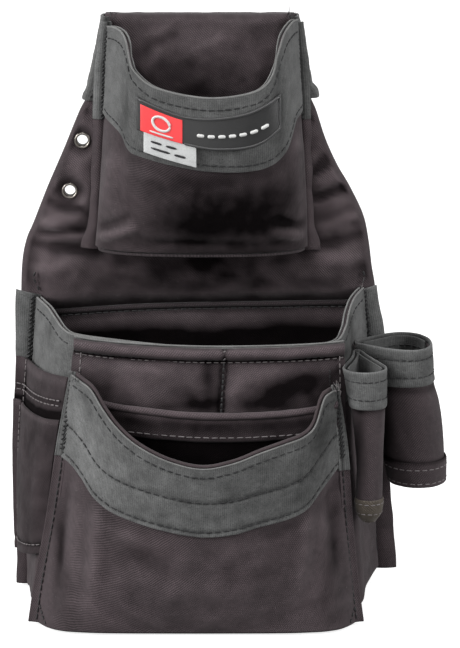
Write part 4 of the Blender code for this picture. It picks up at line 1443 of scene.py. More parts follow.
for side, word in ((-1, "left"), (1, "right")):
    flange = main_flange(side)
    cloth(f"main_flange_{word}", flange, cells=(10, 90), thick=2.4, material=FABRIC,
          place=ROOT, bump=wrinkles(0.4, 0.1, 0.06, seed=24.0), start=0.01,
          replaces=[f"main_side_flange_{word}"])
    # The tape's tone: painted light, more on the right, and painted shade along the seam.
    cloth(f"main_flange_tape_{word}", section(flange, -0.02, 1.02, -0.006, 0.225),
          cells=(10, 30), thick=1.1, material=WEBBING, place=ROOT, lift=1.6,
          tone=lambda across, down, point: (0.25 if side > 0 else 0.08)
          - 0.9 * bell(across, 0.18, 0.14),
          bump=wrinkles(0.3, 0.1, 0.1, seed=25.0), replaces=[f"main_side_tape_{word}"])
    stitches(f"main_seam_bartack_{word}",
             [column(flange, across, 0.0, 0.23, 2.5) for across in (0.16, 0.34)],
             THREAD, ROOT, seed=42, pitch=2.5, length=3.0, radius=0.62, tilt=0.8, jitter=0.35)
    # The left seam's stitches are the paler thread: painted highlight on the lit side.
    stitches(f"main_seam_stitches_{word}", [column(flange, 0.2, 0.24, 0.98, 1.35)],
             LIT_THREAD if side < 0 else THREAD, ROOT, seed=43, pitch=4.2, length=3.2)

cloth("main_floor", pocket_floor(main, -99, 101, rear=17.0, z=-285.2), cells=(60, 14),
      thick=1.8, material=FABRIC, place=MAIN, facing=BELOW, replaces=["main_pocket_floor"])

# ------------------------------------------------------------------ middle pocket
# A padded panel with a rolled hem on the main pocket's front, split by a stitch line.
DIVIDER = 0.515
# Painted shade (below 0) and painted light (above 0) on the panel.
MIDDLE_SHADE = [
    (48, -152, 22, 9, 22, -1.1), (62, -146, 10, 10, 0, -0.4), (5, -149, 4.5, 18, 0, -0.8),
    (-52, -150, 6, 8, 0, -0.6), (-4, -158, 12, 5, -30, -0.6), (-32, -144, 18, 6, 12, 0.3),
    (22, -149, 6, 12, -40, 0.35), (60, -138, 12, 4, 0, 0.3), (-20, -162, 30, 3, 5, -0.5),
    (66, -160, 6, 8, 0, -0.4), (36, -161, 20, 4, 0, -0.4)]


def middle(across, down):
    host = mix(0.3105, 0.706, across)
    t = 2 * across - 1
    top = -129.8 + (4.2 * abs(t) ** 2.0 if t < 0 else 1.0 * t * t)
    z = mix(top, -236, down)
    host_down = main.down_at(host, z)
    point = main(host, host_down)
    normal = normal_at(main, host, host_down, FRONT)
    offset = mix(5.2, 3.0, smooth(down, 0, 1))
    return Vector((point.x + normal.x * offset, point.y + normal.y * offset, z))


def middle_pin(across, down, point):
    return max(1 - smooth(min(across, 1 - across), 0.0, 0.04), 1 - smooth(down, 0.05, 0.09),
               smooth(down, 0.9, 1.0), bell(across, DIVIDER, 0.02))


middle_fill = settle(middle, cells=(70, 44), pin=middle_pin, pressure=0.6, spare=0.08,
                     frames=16, bend=0.3, limit=(-1.6, 2.8))


def middle_bump(across, down, point):
    # Each half swells between its seams.
    if across < DIVIDER:
        height = 2.2 * math.sin(math.pi * clamp(across / DIVIDER))
    else:
        height = 2.0 * math.sin(math.pi * clamp((across - DIVIDER) / (1 - DIVIDER)))
    height = (height * smooth(down, 0.03, 0.12) * 0.7
              + middle_fill(across, down) * 0.5 * smooth(down, 0.05, 0.12))
    # The hem's stitch line and the divider are drawn in.
    height -= 1.3 * bell(down, 0.055, 0.014)
    height += (0.8 * fbm(point.x * 0.045, point.z * 0.06, 31.0)
               + 0.25 * fbm(point.x * 0.16, point.z * 0.2, 33.0))
    height -= 1.6 * bell(across, DIVIDER, 2.6 / 150) * smooth(down, 0.03, 0.12)
    # Slanting creases: (across at the top, strength).
    for start, strength in ((0.2, 2.2), (0.36, -1.6), (0.7, 2.0), (0.84, -1.8)):
        height += (strength * 0.35 * bell(across, start + 0.25 * down, 0.05)
                   * smooth(down, 0.1, 0.3))
    # Flat where the third pocket lies on it.
    return height * (1 - 0.9 * smooth(down, 0.36, 0.55))


# Painted shade, also along the hem's stitch line.
def middle_tone(across, down, point):
    return -0.1 + shade(point.x, point.z, MIDDLE_SHADE) - 0.6 * bell(down, 0.055, 0.02)


def middle_hem(across, down):
    """A half roll over the panel's top edge, from behind to in front."""
    point = middle(across, 0.0)
    normal = normal_at(middle, across, 0.02, FRONT)
    turn = math.pi * down
    return Vector((point.x, point.y + 0.2 + 2.7 * math.sin(turn) ** 0.8,
                   point.z + 0.5 - 2.9 * (1 - math.cos(turn)))) + normal * 0.4


# Painted light along the roll's top, painted shade under it and at the divider.
def middle_hem_tone(across, down, point):
    return (0.45 * smooth(down, 0.1, 0.3) * (1 - smooth(down, 0.45, 0.7))
            - 0.7 * smooth(down, 0.6, 1.0) - 0.5 * bell(across, DIVIDER, 0.012))


cloth("middle_pocket_panel", middle, cells=(130, 60), thick=1.7, material=FABRIC, place=MAIN,
      bump=middle_bump, tone=middle_tone, replaces=["middle_pocket"])
cloth("middle_pocket_rolled_hem", middle_hem, cells=(130, 12), thick=1.3, material=FABRIC,
      place=MAIN,
      bump=lambda across, down, point: 0.4 * fbm(point.x * 0.07, down * 2, 35.0)
      - 0.9 * bell(across, DIVIDER, 0.008),
      tone=middle_hem_tone, replaces=["middle_pocket_hem"], slot="binding_tape")
cord("middle_pocket_lining_edge",
     [middle(across, 0.0) + Vector((0, -1.6, 1.3)) for across in spread(0, 1, 90)], 0.6, EDGE,
     MAIN)
stitches("middle_hem_stitches", [row(middle, 0.01, 0.99, 0.068, 0.7, count=90)],
         LIT_THREAD, MAIN, seed=51, pitch=3.8, length=2.7, radius=0.34)
stitches("middle_hem_stitches_under", [row(middle, 0.01, 0.99, 0.052, 0.9, count=90)],
         THREAD, MAIN, seed=52, pitch=3.6, length=2.8, radius=0.5)
stitches("middle_divider_stitches", [column(middle, DIVIDER, 0.06, 0.7, 0.3)],
         THREAD, MAIN, seed=53, pitch=3.4, length=2.7, radius=0.6)
stitches("middle_hem_tack",
         [[(middle(DIVIDER, 0.0) + Vector((0, 2.6, 0.4 - 1.2 * k)), FRONT) for k in range(6)]],
         LIT_THREAD, MAIN, seed=55, pitch=1.6, length=1.5, radius=0.4, tilt=0.9)
stitches("middle_tack_stitches",
         [column(middle, across, 0.12, 0.27, 2.0) for across in (0.115, 0.135, 0.9)],
         THREAD, MAIN, seed=56, pitch=2.6, length=2.0)
stitches("middle_side_stitches",
         [column(middle, across, 0.05, 0.6, 2.0) for across in (0.045, 0.955)],
         LIT_THREAD, MAIN, seed=54, pitch=3.8, length=2.9, radius=0.36)


# ------------------------------------------------------------------ third pocket
def third(across, down):
    """A lower panel in front of the middle pocket."""
    host = mix(0.345, 0.69, across)
    t = 2 * across - 1
    top = -164.6 + (8.0 if t < 0 else 5.5) * abs(t) ** 2.0
    z = mix(top, -240, down)
    point = main(host, main.down_at(host, z))
    return Vector((point.x, point.y + mix(12.0, 7.5, smooth(down, 0, 0.8)), z))


def third_bump(across, down, point):
    height = (0.6 * fbm(point.x * 0.05, point.z * 0.05, 41.0)
              + 0.15 * fbm(point.x * 0.2, point.z * 0.2, 43.0))
    return height - 2.4 * smooth(down, 0.2, 0.225)


# Painted shade from just below the rim and below the hem's fold, with painted light on the fold.
def third_tone(across, down, point):
    return (-0.78 * smooth(down, 0.03, 0.09) - 0.5 * smooth(down, 0.195, 0.22)
            + 0.35 * bell(down, 0.205, 0.01))


def third_hem(across, down):
    point = third(across, 0.0)
    turn = math.pi * down
    return Vector((point.x, point.y + 0.2 + 1.3 * math.sin(turn),
                   point.z - 1.4 + 1.8 * math.cos(turn)))


cloth("third_pocket_panel", third, cells=(110, 90), thick=1.7, material=FABRIC, place=MAIN,
      bump=third_bump, tone=third_tone, replaces=["third_pocket"])
# The hem's top is painted light and its underside painted shade.
cloth("third_pocket_hem", third_hem, cells=(110, 8), thick=1.2, material=FABRIC, place=MAIN,
      bump=lambda across, down, point: 0.3 * fbm(point.x * 0.06, down, 44.0),
      tone=lambda across, down, point: 0.35 - 1.0 * smooth(down, 0.45, 0.8))
stitches("third_pocket_stitches", [row(third, 0.03, 0.97, 0.178, 1.0, count=80)],
         LIT_THREAD, MAIN, seed=61, radius=0.36)

# ------------------------------------------------------------------ front pocket
# Stations across, -1 at the left to 1 at the right: (place, rim z, band's lower edge z).
FRONT_STATIONS = [
    (-1, -143.4, -191), (-0.93, -146.0, -193.8), (-0.84, -149.6, -200), (-0.74, -159.2, -209.4),
    (-0.62, -169, -215.6), (-0.46, -178, -220), (-0.24, -185.8, -224.6), (0, -190, -228),
    (0.22, -187, -226.8), (0.42, -181.4, -222.8), (0.6, -177.6, -220.2), (0.73, -175.0, -216.4),
    (0.82, -169.6, -208.6), (0.9, -156, -202), (0.95, -153.2, -198), (1, -152.4, -196.4)]
FRONT_FLOOR = -285.4
# (z, x) of its side seams, and (distance from the middle, depth) of its foot.
FRONT_LEFT = [(-285, -91.5), (-262, -88), (-230, -82), (-184, -75), (-146, -70)]
FRONT_RIGHT = [(-285, 88), (-262, 85), (-230, 82), (-184, 78.5), (-150, 74.8)]
FRONT_FOOT = [(0, 101.5), (0.6, 100.9), (0.8, 98.8), (0.88, 96.4), (0.94, 92.2), (1, 84.0)]
FRONT_FOLDS = [(-54, -196, -60, -270, 4.6, 1.8), (-72, -196, -82, -274, 4.0, -2.0),
               (62, -196, 54, -268, 4.4, 1.7), (70, -194, 80, -272, 4.4, -2.2),
               (-40, -236, -10, -256, 7.0, -0.9), (-30, -262, 44, -258, 9.0, 1.0),
               (52, -214, 40, -234, 5.0, -0.9)]
# Painted shade (below 0) and painted light (above 0) on the wall and on the band.
FRONT_SHADE = [(-66, -246, 7, 34, 4, 0.35), (-78, -236, 4, 34, 6, -0.6),
               (74, -240, 4, 34, -6, -0.6), (-30, -238, 22, 6, 10, -0.25),
               (46, -232, 14, 8, -20, -0.3), (10, -268, 40, 7, 0, 0.15),
               (62, -250, 6, 24, -6, 0.25), (-20, -254, 26, 7, -8, 0.15),
               (30, -250, 16, 6, 12, -0.2)]
FRONT_BAND_SHADE = [(-56, -186, 18, 26, 20, 0.15), (68, -176, 8, 22, -12, -0.75),
                    (30, -204, 26, 20, 0, -0.32), (-64, -172, 8, 26, 12, 0.4),
                    (-52, -196, 14, 12, 20, 0.2), (-62, -158, 2.5, 10, 14, -0.5),
                    (4, -212, 20, 12, 0, -0.15), (56, -204, 10, 10, 0, -0.3)]


def front_point(place, z, depth):
    return Vector((mix(ease(z, FRONT_LEFT), ease(z, FRONT_RIGHT), (place + 1) / 2), depth, z))


def bulge(place, side_depth, middle_depth):
    return side_depth + (middle_depth - side_depth) * (1 - abs(place) ** 2.7)


front = Pocket([
    (0.0, [front_point(place, rim, bulge(place, 73.6, 100.5))
           for place, rim, _ in FRONT_STATIONS]),
    (0.5, [front_point(place, (rim + FRONT_FLOOR) / 2, bulge(place, 75.0, 105.0))
           for place, rim, _ in FRONT_STATIONS]),
    (1.0, [front_point(place, FRONT_FLOOR, ease(abs(place), FRONT_FOOT))
           for place, _, _ in FRONT_STATIONS])],
    rim=[rim for _, rim, _ in FRONT_STATIONS], floor=FRONT_FLOOR,
    band=[band for _, _, band in FRONT_STATIONS])
front_fill = settle(front, cells=(70, 56), pin=front.pin, pressure=0.4, spare=0.06, frames=16,
                    bend=0.35, limit=(-2.0, 2.6))


def front_bump(across, down, point):
    x, z = point.x, point.z
    height = 0.9 * fbm(x * 0.03, z * 0.03, 51.0) + 0.35 * fbm(x * 0.09, z * 0.08, 52.0)
    height += folds(x, z, FRONT_FOLDS) + front_fill(across, down) * 0.4
    height *= smooth(front.under_band(across, point), -3.0, 10.0)
    return (height * smooth(down, 0.0, 0.25) * (1 - smooth(down, 0.96, 1.0))
            * smooth(min(across, 1 - across), 0.0, 0.06))


def front_band_bump(across, down, point):
    """Stitch grooves 19 and 2.8 mm above the band's lower edge."""
    above = -front.under_band(across, point)
    groove = -0.55 * bell(above, 19.0, 1.3) - 0.5 * bell(above, 2.8, 1.0)
    height = (0.4 * fbm(point.x * 0.07, point.z * 0.1, 61.0)
              + 0.15 * fbm(point.x * 0.25, point.z * 0.3, 62.0))
    return height * smooth(down, 0.0, 0.05) + groove


cloth("front_pocket_wall", front, cells=(170, 90), thick=1.2, material=FABRIC, place=FACE,
      bump=front_bump, tone=patches(FRONT_SHADE), start=0.004, replaces=["front_pocket_face"])
cloth("front_pocket_webbing", front, cells=(170, 46), thick=1.0, material=WEBBING, place=FACE,
      lift=BAND_LIFT, bump=front_band_bump, end=front.above_band(),
      tone=patches(FRONT_BAND_SHADE), replaces=["front_pocket_band"])
rim_cord("front_pocket_edge_tape", front, -0.9, rise=0.9, radius=1.15, material=TAPE,
         place=FACE, count=130, replaces=["front_pocket_rolled_edge"])
rim_cord("front_pocket_edge_outer", front, 1.5, rise=-0.1, radius=0.5, material=EDGE,
         place=FACE, count=130)
stitches("front_band_stitches",
         [row(front, 0.02, 0.98, line, lift, count=120) for line, lift in (
             (front.below_rim(5.0), STITCH_LIFT), (front.above_band(19.0), STITCH_LIFT - 0.35),
             (front.above_band(2.8), STITCH_LIFT - 0.35))],
         THREAD, FACE, seed=71)

# (z, width) and (z, depth) of the front pocket's side flanges.
FRONT_FLANGE_WIDTH = [(-285, 5.2), (-230, 5.0), (-184, 4.8), (-144, 2.4)]
FRONT_FLANGE_DEPTH = [(-285, 83.6), (-262, 79.2), (-235, 75.6), (-200, 73.6), (-146, 71.6)]


def front_flange(side):
    """The fin at the front pocket's side seam, across from the seam outwards."""
    def surface(across, down):
        z = mix(-142.5 if side < 0 else -150.0, FRONT_FLOOR, down)
        seam = ease(z, FRONT_LEFT if side < 0 else FRONT_RIGHT)
        width = ease(z, FRONT_FLANGE_WIDTH) * (1.0 if side < 0 else 0.85)
        return Vector((seam + side * mix(-2.0, width, across),
                       ease(z, FRONT_FLANGE_DEPTH) + 2.3 * (1 - across) ** 2, z))
    return surface


def front_gusset(side):
    """Closes the front pocket's side below its band, across from flange to main pocket."""
    flange = front_flange(side)
    levels = []
    for down in (0.28, 0.42, 0.56, 0.7, 0.84, 0.985):
        near = flange(0.2, down) - Vector((0, 0.7, 0))
        host, _ = main.bracket(near.x * 0.985, near.z, 0.0, 1.0, steps=20)
        far = main(host, main.down_at(host, near.z)) + Vector((0, 1.1, 0))
        levels.append(((down - 0.28) / 0.705, [near.lerp(far, k / 4) for k in range(5)]))
    return wall(levels)


for side, word in ((-1, "left"), (1, "right")):
    flange = front_flange(side)
    cloth(f"front_flange_{word}", flange, cells=(10, 80), thick=1.6, material=FABRIC,
          place=FACE, bump=wrinkles(0.3, 0.1, 0.07, seed=64.0), start=0.01,
          replaces=[f"front_pocket_flange_{word}"])
    # The tape's tone: painted light, more on the right, and painted shade along the seam.
    cloth(f"front_flange_web_{word}",
          section(flange, -0.1, 1.03, -0.005, 0.335 if side < 0 else 0.36),
          cells=(10, 40), thick=1.0, material=WEBBING, place=FACE, lift=1.25,
          tone=lambda across, down, point: (0.1 if side < 0 else 0.25)
          - 1.0 * bell(across, 0.3, 0.16),
          bump=wrinkles(0.3, 0.15, 0.12, seed=65.0))
    stitches(f"front_seam_bartack_{word}",
             [column(flange, across, 0.02, 0.31, 2.1) for across in (0.22, 0.42)],
             THREAD, FACE, seed=72, pitch=2.6, length=2.8, radius=0.5, tilt=0.7, jitter=0.35)
    stitches(f"front_seam_stitches_{word}", [column(flange, 0.3, 0.33, 0.99, 1.1)],
             THREAD, FACE, seed=73, pitch=4.0, length=3.1)

# The gussets are painted in even shade.
for side, word in ((-1, "left"), (1, "right")):
    cloth(f"front_gusset_{word}", front_gusset(side), cells=(8, 40), thick=1.0,
          material=FABRIC, place=FACE, facing=Vector((side, 0.2, 0)),
          tone=lambda across, down, point: -0.3)

# The seams turn the lower corners.
for word, start, end in (("left", 0.004, 0.062), ("right", 0.996, 0.938)):
    spots = list(zip(spread(start, end, 12), spread(0.93, 0.992, 12)))
    stitches(f"front_corner_stitches_{word}", [path_above(front, spots, 0.9)], THREAD, FACE,
             seed=74, pitch=3.0, length=2.3)

cloth("front_floor", pocket_floor(front, -88, 85, rear=78.0, z=-285.6, sag=0.6),
      cells=(60, 8), thick=1.6, material=FABRIC, place=FACE, facing=BELOW,
      replaces=["front_pocket_floor"])

# ------------------------------------------------------------------ left side pockets
# From the front crease to the rear flange, high and low: (x, depth).
SIDE_HIGH = [(-73.0, 68.0), (-77.6, 62.0), (-82.2, 56.4), (-86.9, 49.2), (-91.2, 40.8),
             (-95.0, 31.8), (-98.4, 26), (-102.6, 23.2), (-107.4, 22.2)]
SIDE_LOW = [(-88.0, 70.6), (-91.6, 66.0), (-95.2, 59.5), (-98.6, 51), (-100.8, 42),
            (-102.4, 32), (-103.8, 25.5), (-106, 22.2), (-109.4, 20.9)]
LEFTWARD = Vector((-1, 0.5, 0))


def side_pocket(top, bottom, stand_off):
    """Across runs from the front crease over the main pocket's side to the rear flange."""
    last = len(SIDE_HIGH) - 1

    def level(down):
        points = []
        for i, (high, low) in enumerate(zip(SIDE_HIGH, SIDE_LOW)):
            rearward = smooth((i - 1) / (last - 1), 0.5, 1.0)
            z_top = top - 1.6 * math.sin(math.pi * i / last)
            z_bottom = bottom + 13.0 * (1 - i / last) ** 1.3
            offset = stand_off * (0.25 if i == 0 else 1.0)
            z = mix(z_top, z_bottom, down)
            t = clamp((-146.8 - z) / 111.0)
            x = mix(high[0], low[0], t) - 1.4 * math.sin(math.pi * t)
            depth = mix(high[1], low[1], t)
            points.append((x + 2.4 * rearward - offset * mix(0.9, 0.2, rearward),
                           depth + offset * mix(0.45, 1.0, rearward), z))
        return points
    return wall([(down, level(down)) for down in (0.0, 0.33, 0.66, 1.0)])


def side_inner_bump(across, down, point):
    return 0.5 * fbm(point.y * 0.08, point.z * 0.06, 71.0) - 0.7 * bell(down, 0.16, 0.02)


# Painted light and shade: an even shade, light along the top edge, shade at the seam and below the
# outer pocket's top.
def side_inner_tone(across, down, point):
    return (-0.42 + 0.4 * bell(down, 0.03, 0.03) - 0.5 * bell(across, 0.755, 0.06)
            - 0.75 * smooth(down, 0.185, 0.22))


def side_outer_bump(across, down, point):
    return (0.8 * fbm(point.y * 0.07, point.z * 0.05, 72.0)
            + 0.8 * math.sin(math.pi * across) * math.sin(math.pi * down)
            - 0.8 * bell(down, 0.93, 0.02) - 0.9 * bell(across, 0.755, 0.05))


# Painted light and shade: an even shade, light along the top edge, shade at the seam, lighter
# toward the rear.
def side_outer_tone(across, down, point):
    return (-0.46 + 0.4 * bell(down, 0.02, 0.02) - 0.5 * bell(across, 0.77, 0.05)
            + 0.3 * smooth(across, 0.85, 0.95))


side_inner = side_pocket(-146.8, -256.0, stand_off=0.8)
side_outer = side_pocket(-171.5, -262.0, stand_off=3.4)
cloth("side_pocket_inner_panel", side_inner, cells=(50, 60), thick=1.5, material=FABRIC,
      place=MAIN, facing=LEFTWARD, bump=side_inner_bump, tone=side_inner_tone,
      replaces=["side_pocket_inner"])
cloth("side_pocket_outer_panel", side_outer, cells=(50, 70), thick=1.5, material=FABRIC,
      place=MAIN, facing=LEFTWARD, bump=side_outer_bump, tone=side_outer_tone,
      replaces=["side_pocket_outer"])
stitches("side_pocket_hem_stitches",
         [row(side_inner, 0.04, 0.98, 0.145, 1.0, LEFTWARD, count=40)],
         LIT_THREAD, MAIN, seed=81, pitch=3.2, length=2.6)
stitches("side_pocket_hem_stitches_lower",
         [row(side_inner, 0.04, 0.98, 0.175, 1.0, LEFTWARD, count=40),
          row(side_outer, 0.04, 0.98, 0.93, 1.0, LEFTWARD, count=40)],
         LIT_THREAD, MAIN, seed=82, pitch=3.6, length=2.8, radius=0.35)
stitches("side_pocket_seam_stitches",
         [column(side_outer, 0.764, 0.02, 1.0, 0.9, LEFTWARD),
          column(side_inner, 0.764, 0.0, 0.24, 0.9, LEFTWARD)],
         LIT_THREAD, MAIN, seed=83, pitch=3.6, length=2.9, radius=0.36)


# ------------------------------------------------------------------ sleeves
# A sleeve's surface runs once round with across.
def ring_normals(ring):
    """Level normals of a closed ring of points, away from its centre."""
    centre = sum(ring, Vector((0, 0, 0))) / len(ring)
    normals = []
    for i, point in enumerate(ring):
        along = ring[(i + 1) % len(ring)] - ring[i - 1]
        normal = Vector((along.y, -along.x, 0)).normalized()
        normals.append(-normal if normal.dot(point - centre) < 0 else normal)
    return normals


def ring_row(surface, down, lift, count=72):
    """A closed path round a sleeve."""
    ring = [surface(i / count, down) for i in range(count)]
    path = [(point + normal * lift, normal) for point, normal in zip(ring, ring_normals(ring))]
    return path + path[:1]


def round_wrinkles(across, down, height, round_rate, down_rate):
    """Noise that meets itself round a sleeve."""
    turn = 6.283 * across
    return height * fbm(math.cos(turn) * round_rate, math.sin(turn) * round_rate,
                        down * down_rate)


def tube_cloth(name, surface, cells, thick, material, place, bump, tone=None, replaces=()):
    """A thick sheet wrapped into a closed sleeve with rolled ends; its inside gets extra painted
    shade.
    """
    columns, rows = cells
    points = np.empty((columns, rows + 1, 3))
    normals = np.empty_like(points)
    for j in range(rows + 1):
        down = j / rows
        ring = [surface(i / columns, down) for i in range(columns)]
        for i, (point, normal) in enumerate(zip(ring, ring_normals(ring))):
            points[i, j] = point + normal * bump(i / columns, down, point)
            normals[i, j] = normal
    steps_i = np.linalg.norm(np.diff(np.concatenate([points, points[:1]]), axis=0), axis=2)
    steps_j = np.linalg.norm(np.diff(points, axis=1), axis=2)
    along_i = np.concatenate([[0], np.cumsum(steps_i.mean(axis=1))])
    along_j = np.concatenate([[0], np.cumsum(steps_j.mean(axis=0))])
    half = thick / 2
    # Outside down, rolled bottom, inside up, rolled top: (row, offset, rise).
    profile = ([(j, half, 0.0) for j in range(rows + 1)]
               + [(rows, half * 0.6, -half * 0.8), (rows, -half * 0.6, -half * 0.8)]
               + [(j, -half, 0.0) for j in range(rows, -1, -1)]
               + [(0, -half * 0.6, half * 0.8), (0, half * 0.6, half * 0.8)])
    bm = bmesh.new()
    bm.loops.layers.uv.new("weave")
    layer = bm.verts.layers.float.new("painted_shading")
    grid = []
    for i in range(columns):
        grid.append([])
        for j, offset, rise in profile:
            vert = bm.verts.new(world(*(points[i, j] + normals[i, j] * offset
                                        + np.array([0, 0, rise]))))
            if tone:
                value = tone(i / columns, j / rows, Vector(points[i, j]))
                # The inside face gets extra painted shade.
                vert[layer] = clamp(value - (0.6 if offset < 0 else 0.0), -1.2, 1.0)
            grid[-1].append(vert)

    def weave(i, k):
        j, _, rise = profile[k % len(profile)]
        return along_i[i], along_j[j] + rise

    add_quads(bm, grid, columns, len(profile), weave=weave)
    dress(mesh_object(name, bm, material), place, replaces)


# ---- large sleeve
LARGE = joint(ROOT, "large_sleeve", (89, 40, -170), (103, 40, -170))
LARGE_DEPTH = 40.5
# (z, x) of the sleeve's left and right ends, (z, sharpness) of its left end, and
# (x, depth) by which the sharp end bends forward.
LARGE_LEFT = [(-214, 108.8), (-200, 105.5), (-185, 101.5), (-170, 97.0), (-158, 92.6),
              (-148, 90.0), (-134, 88.9)]
LARGE_RIGHT = [(-214, 138.4), (-197, 138.2), (-168, 134.8), (-156, 131.2), (-134, 129.2)]
LARGE_SHARP = [(-205, 0.0), (-175, 0.35), (-155, 0.9), (-134, 1.15)]
LARGE_BEND = [(88, 5.0), (100, 2.5), (114, 0), (140, 0)]


def large_ring(z):
    """Centre x and radius."""
    t = (-136.0 - z) / 79.0
    return 113.6 + 10.6 * t, mix(19.3, 15.4, clamp(t))


def large_wall(grow, z_top, z_bottom):
    """Round below, drawn to a point above on the left, where its ends are sewn together.

    The upper pieces' rims slope; grow moves the surface outwards."""
    rim_slope = 0.9 if z_top > -150 else 0.0

    def surface(across, down):
        z = mix(z_top, z_bottom, down)
        _, radius = large_ring(z)
        right, left = ease(z, LARGE_RIGHT), ease(z, LARGE_LEFT)
        half, centre_x = (right - left) / 2, (right + left) / 2
        sharp = ease(z, LARGE_SHARP)
        wide = radius * (1 + 0.22 * sharp)

        def outline(turn):
            """(x, share of the width); turn 0 is the pointed end."""
            return (centre_x - half * math.cos(turn),
                    math.sin(turn) * (0.5 - 0.5 * math.cos(turn)) ** (sharp / 2))

        turn = 2 * math.pi * (across - 0.001)
        x, share = outline(turn)
        ahead_x, ahead = outline(turn + 0.02)
        behind_x, behind = outline(turn - 0.02)
        normal = Vector((-wide * (ahead - behind), ahead_x - behind_x, 0))
        if normal.length > 1e-9:
            normal.normalize()
        depth = LARGE_DEPTH + ease(x, LARGE_BEND) * clamp(sharp) + wide * share
        point = Vector((x, depth, z + rim_slope * math.cos(turn) * (1 - down)))
        # The two faces stay a thread apart at the tip.
        gap = 1.9 * bell(x, left, 6.0) * clamp(sharp)
        point.y += gap * (1 if math.sin(turn) >= 0 else -1)
        return point + normal * grow
    return surface


# Painted shade down the sleeve's left front, under the band and above the hem.
def large_tone(across, down, point):
    return (shade(point.x, point.z, [(103, -186, 7, 34, 0, -1.0)])
            - 0.5 * bell(down, 0.27, 0.03) - 0.7 * bell(down, 0.83, 0.02))


def large_band_bump(across, down, point):
    return (round_wrinkles(across, down, 0.25, 3, 2)
            - 0.4 * bell(down, 0.27, 0.05) - 0.4 * bell(down, 0.76, 0.05))


# Painted shade and light on the band, painted shade along its upper stitch line, painted light
# along its top.
def large_band_tone(across, down, point):
    spots = [(101.5, -149, 6.5, 12, 0, -1.0), (116, -146, 6, 14, 0, 0.25),
             (127, -146, 4, 14, 0, -0.35)]
    return (shade(point.x, point.z, spots) - 0.3 * bell(down, 0.27, 0.05)
            + 0.35 * (1 - smooth(down, 0.0, 0.08)))


# Painted shade on the hem's left front and along its top, a little painted light at its foot.
def large_hem_tone(across, down, point):
    return (shade(point.x, point.z, [(103, -206, 6, 20, 0, -0.8)])
            - 0.6 * (1 - smooth(down, 0.0, 0.14)) + 0.2 * smooth(down, 0.8, 1))


tube_cloth("large_sleeve_cloth", large_wall(0.0, -136.6, -214.0), cells=(84, 50), thick=1.6,
           material=FABRIC, place=LARGE, tone=large_tone,
           bump=lambda across, down, point: round_wrinkles(across, down, 0.6, 1.6, 2.2)
           * smooth(down, 0, 0.1),
           replaces=["large_sleeve_tube"])
large_band = large_wall(1.3, -133.7, -155.0)
tube_cloth("large_sleeve_webbing", large_band, cells=(84, 18), thick=1.3, material=WEBBING,
           place=LARGE, bump=large_band_bump, tone=large_band_tone,
           replaces=["large_sleeve_band"])
large_lining = section(large_wall(-1.5, -134.3, -155.0), 0.54, 0.93)
# The lining is painted in shade, deeper down the sleeve.
cloth("large_sleeve_lining", large_lining, cells=(50, 14), thick=1.0, material=WEBBING,
      place=LARGE, bump=wrinkles(0.25, 0.15, 0.15, seed=95.0),
      tone=lambda across, down, point: -0.35 - 0.6 * smooth(down, 0.2, 0.8))
stitches("large_sleeve_lining_stitches", [row(large_lining, 0.02, 0.98, 0.27, 0.6, count=40)],
         THREAD, LARGE, seed=95, pitch=3.6, length=2.8, radius=0.38)
stitches("large_sleeve_band_stitches",
         [ring_row(large_band, down, 0.5) for down in (0.27, 0.76)],
         THREAD, LARGE, seed=91, pitch=4.0, length=3.0, radius=0.38)
large_hem = large_wall(1.3, -201.0, -214.6)
tube_cloth("large_sleeve_hem_fold", large_hem, cells=(84, 10), thick=1.3, material=FABRIC,
           place=LARGE, tone=large_hem_tone,
           bump=lambda across, down, point: round_wrinkles(across, down, 0.25, 3, 1),
           replaces=["large_sleeve_hem"])
stitches("large_sleeve_hem_stitches",
         [ring_row(large_hem, down, 0.65) for down in (0.27, 0.88)],
         LIT_THREAD, LARGE, seed=92, pitch=4.2, length=3.0, radius=0.36)


def large_fin(across, down):
    """A web from the back panel's right edge to the sleeve."""
    z = mix(-157.0, -204.0, down)
    centre_x, radius = large_ring(z)
    reach = (radius + 0.6) * 0.7071
    _, right = back_edges(z)
    return Vector((mix(right - 1.0, centre_x - reach, across),
                   mix(18.4, LARGE_DEPTH - reach, across), z))


cloth("large_sleeve_fin", large_fin, cells=(12, 30), thick=1.3, material=FABRIC,
      place=joint(ROOT, "large_sleeve", (104, 19, -180), (106, 27, -180)),
      facing=Vector((1, -0.5, 0)), replaces=["large_sleeve_seam_web"])

# ---- small sleeve
# The joint between the pocket and the tube lies below the sewn top.
SMALL = joint(MAIN_BODY, "small_sleeve", (84.5, 66, -143), (84.5, 66, -172))
# (z, centre x), (z, radius) and (z, how far the rear is drawn back).
SMALL_X = [(-232, 95.2), (-222, 95.1), (-214, 95.1), (-195, 95.2), (-165, 94.0), (-140, 91.8)]
SMALL_RADIUS = [(-230, 2.2), (-228.4, 3.4), (-226, 5.2), (-222, 6.3), (-214, 6.6),
                (-195, 6.7), (-165, 8.7), (-141, 10.6)]
SMALL_PULL = [(-185, 0.0), (-168, 0.25), (-155, 0.8), (-146, 1.0)]


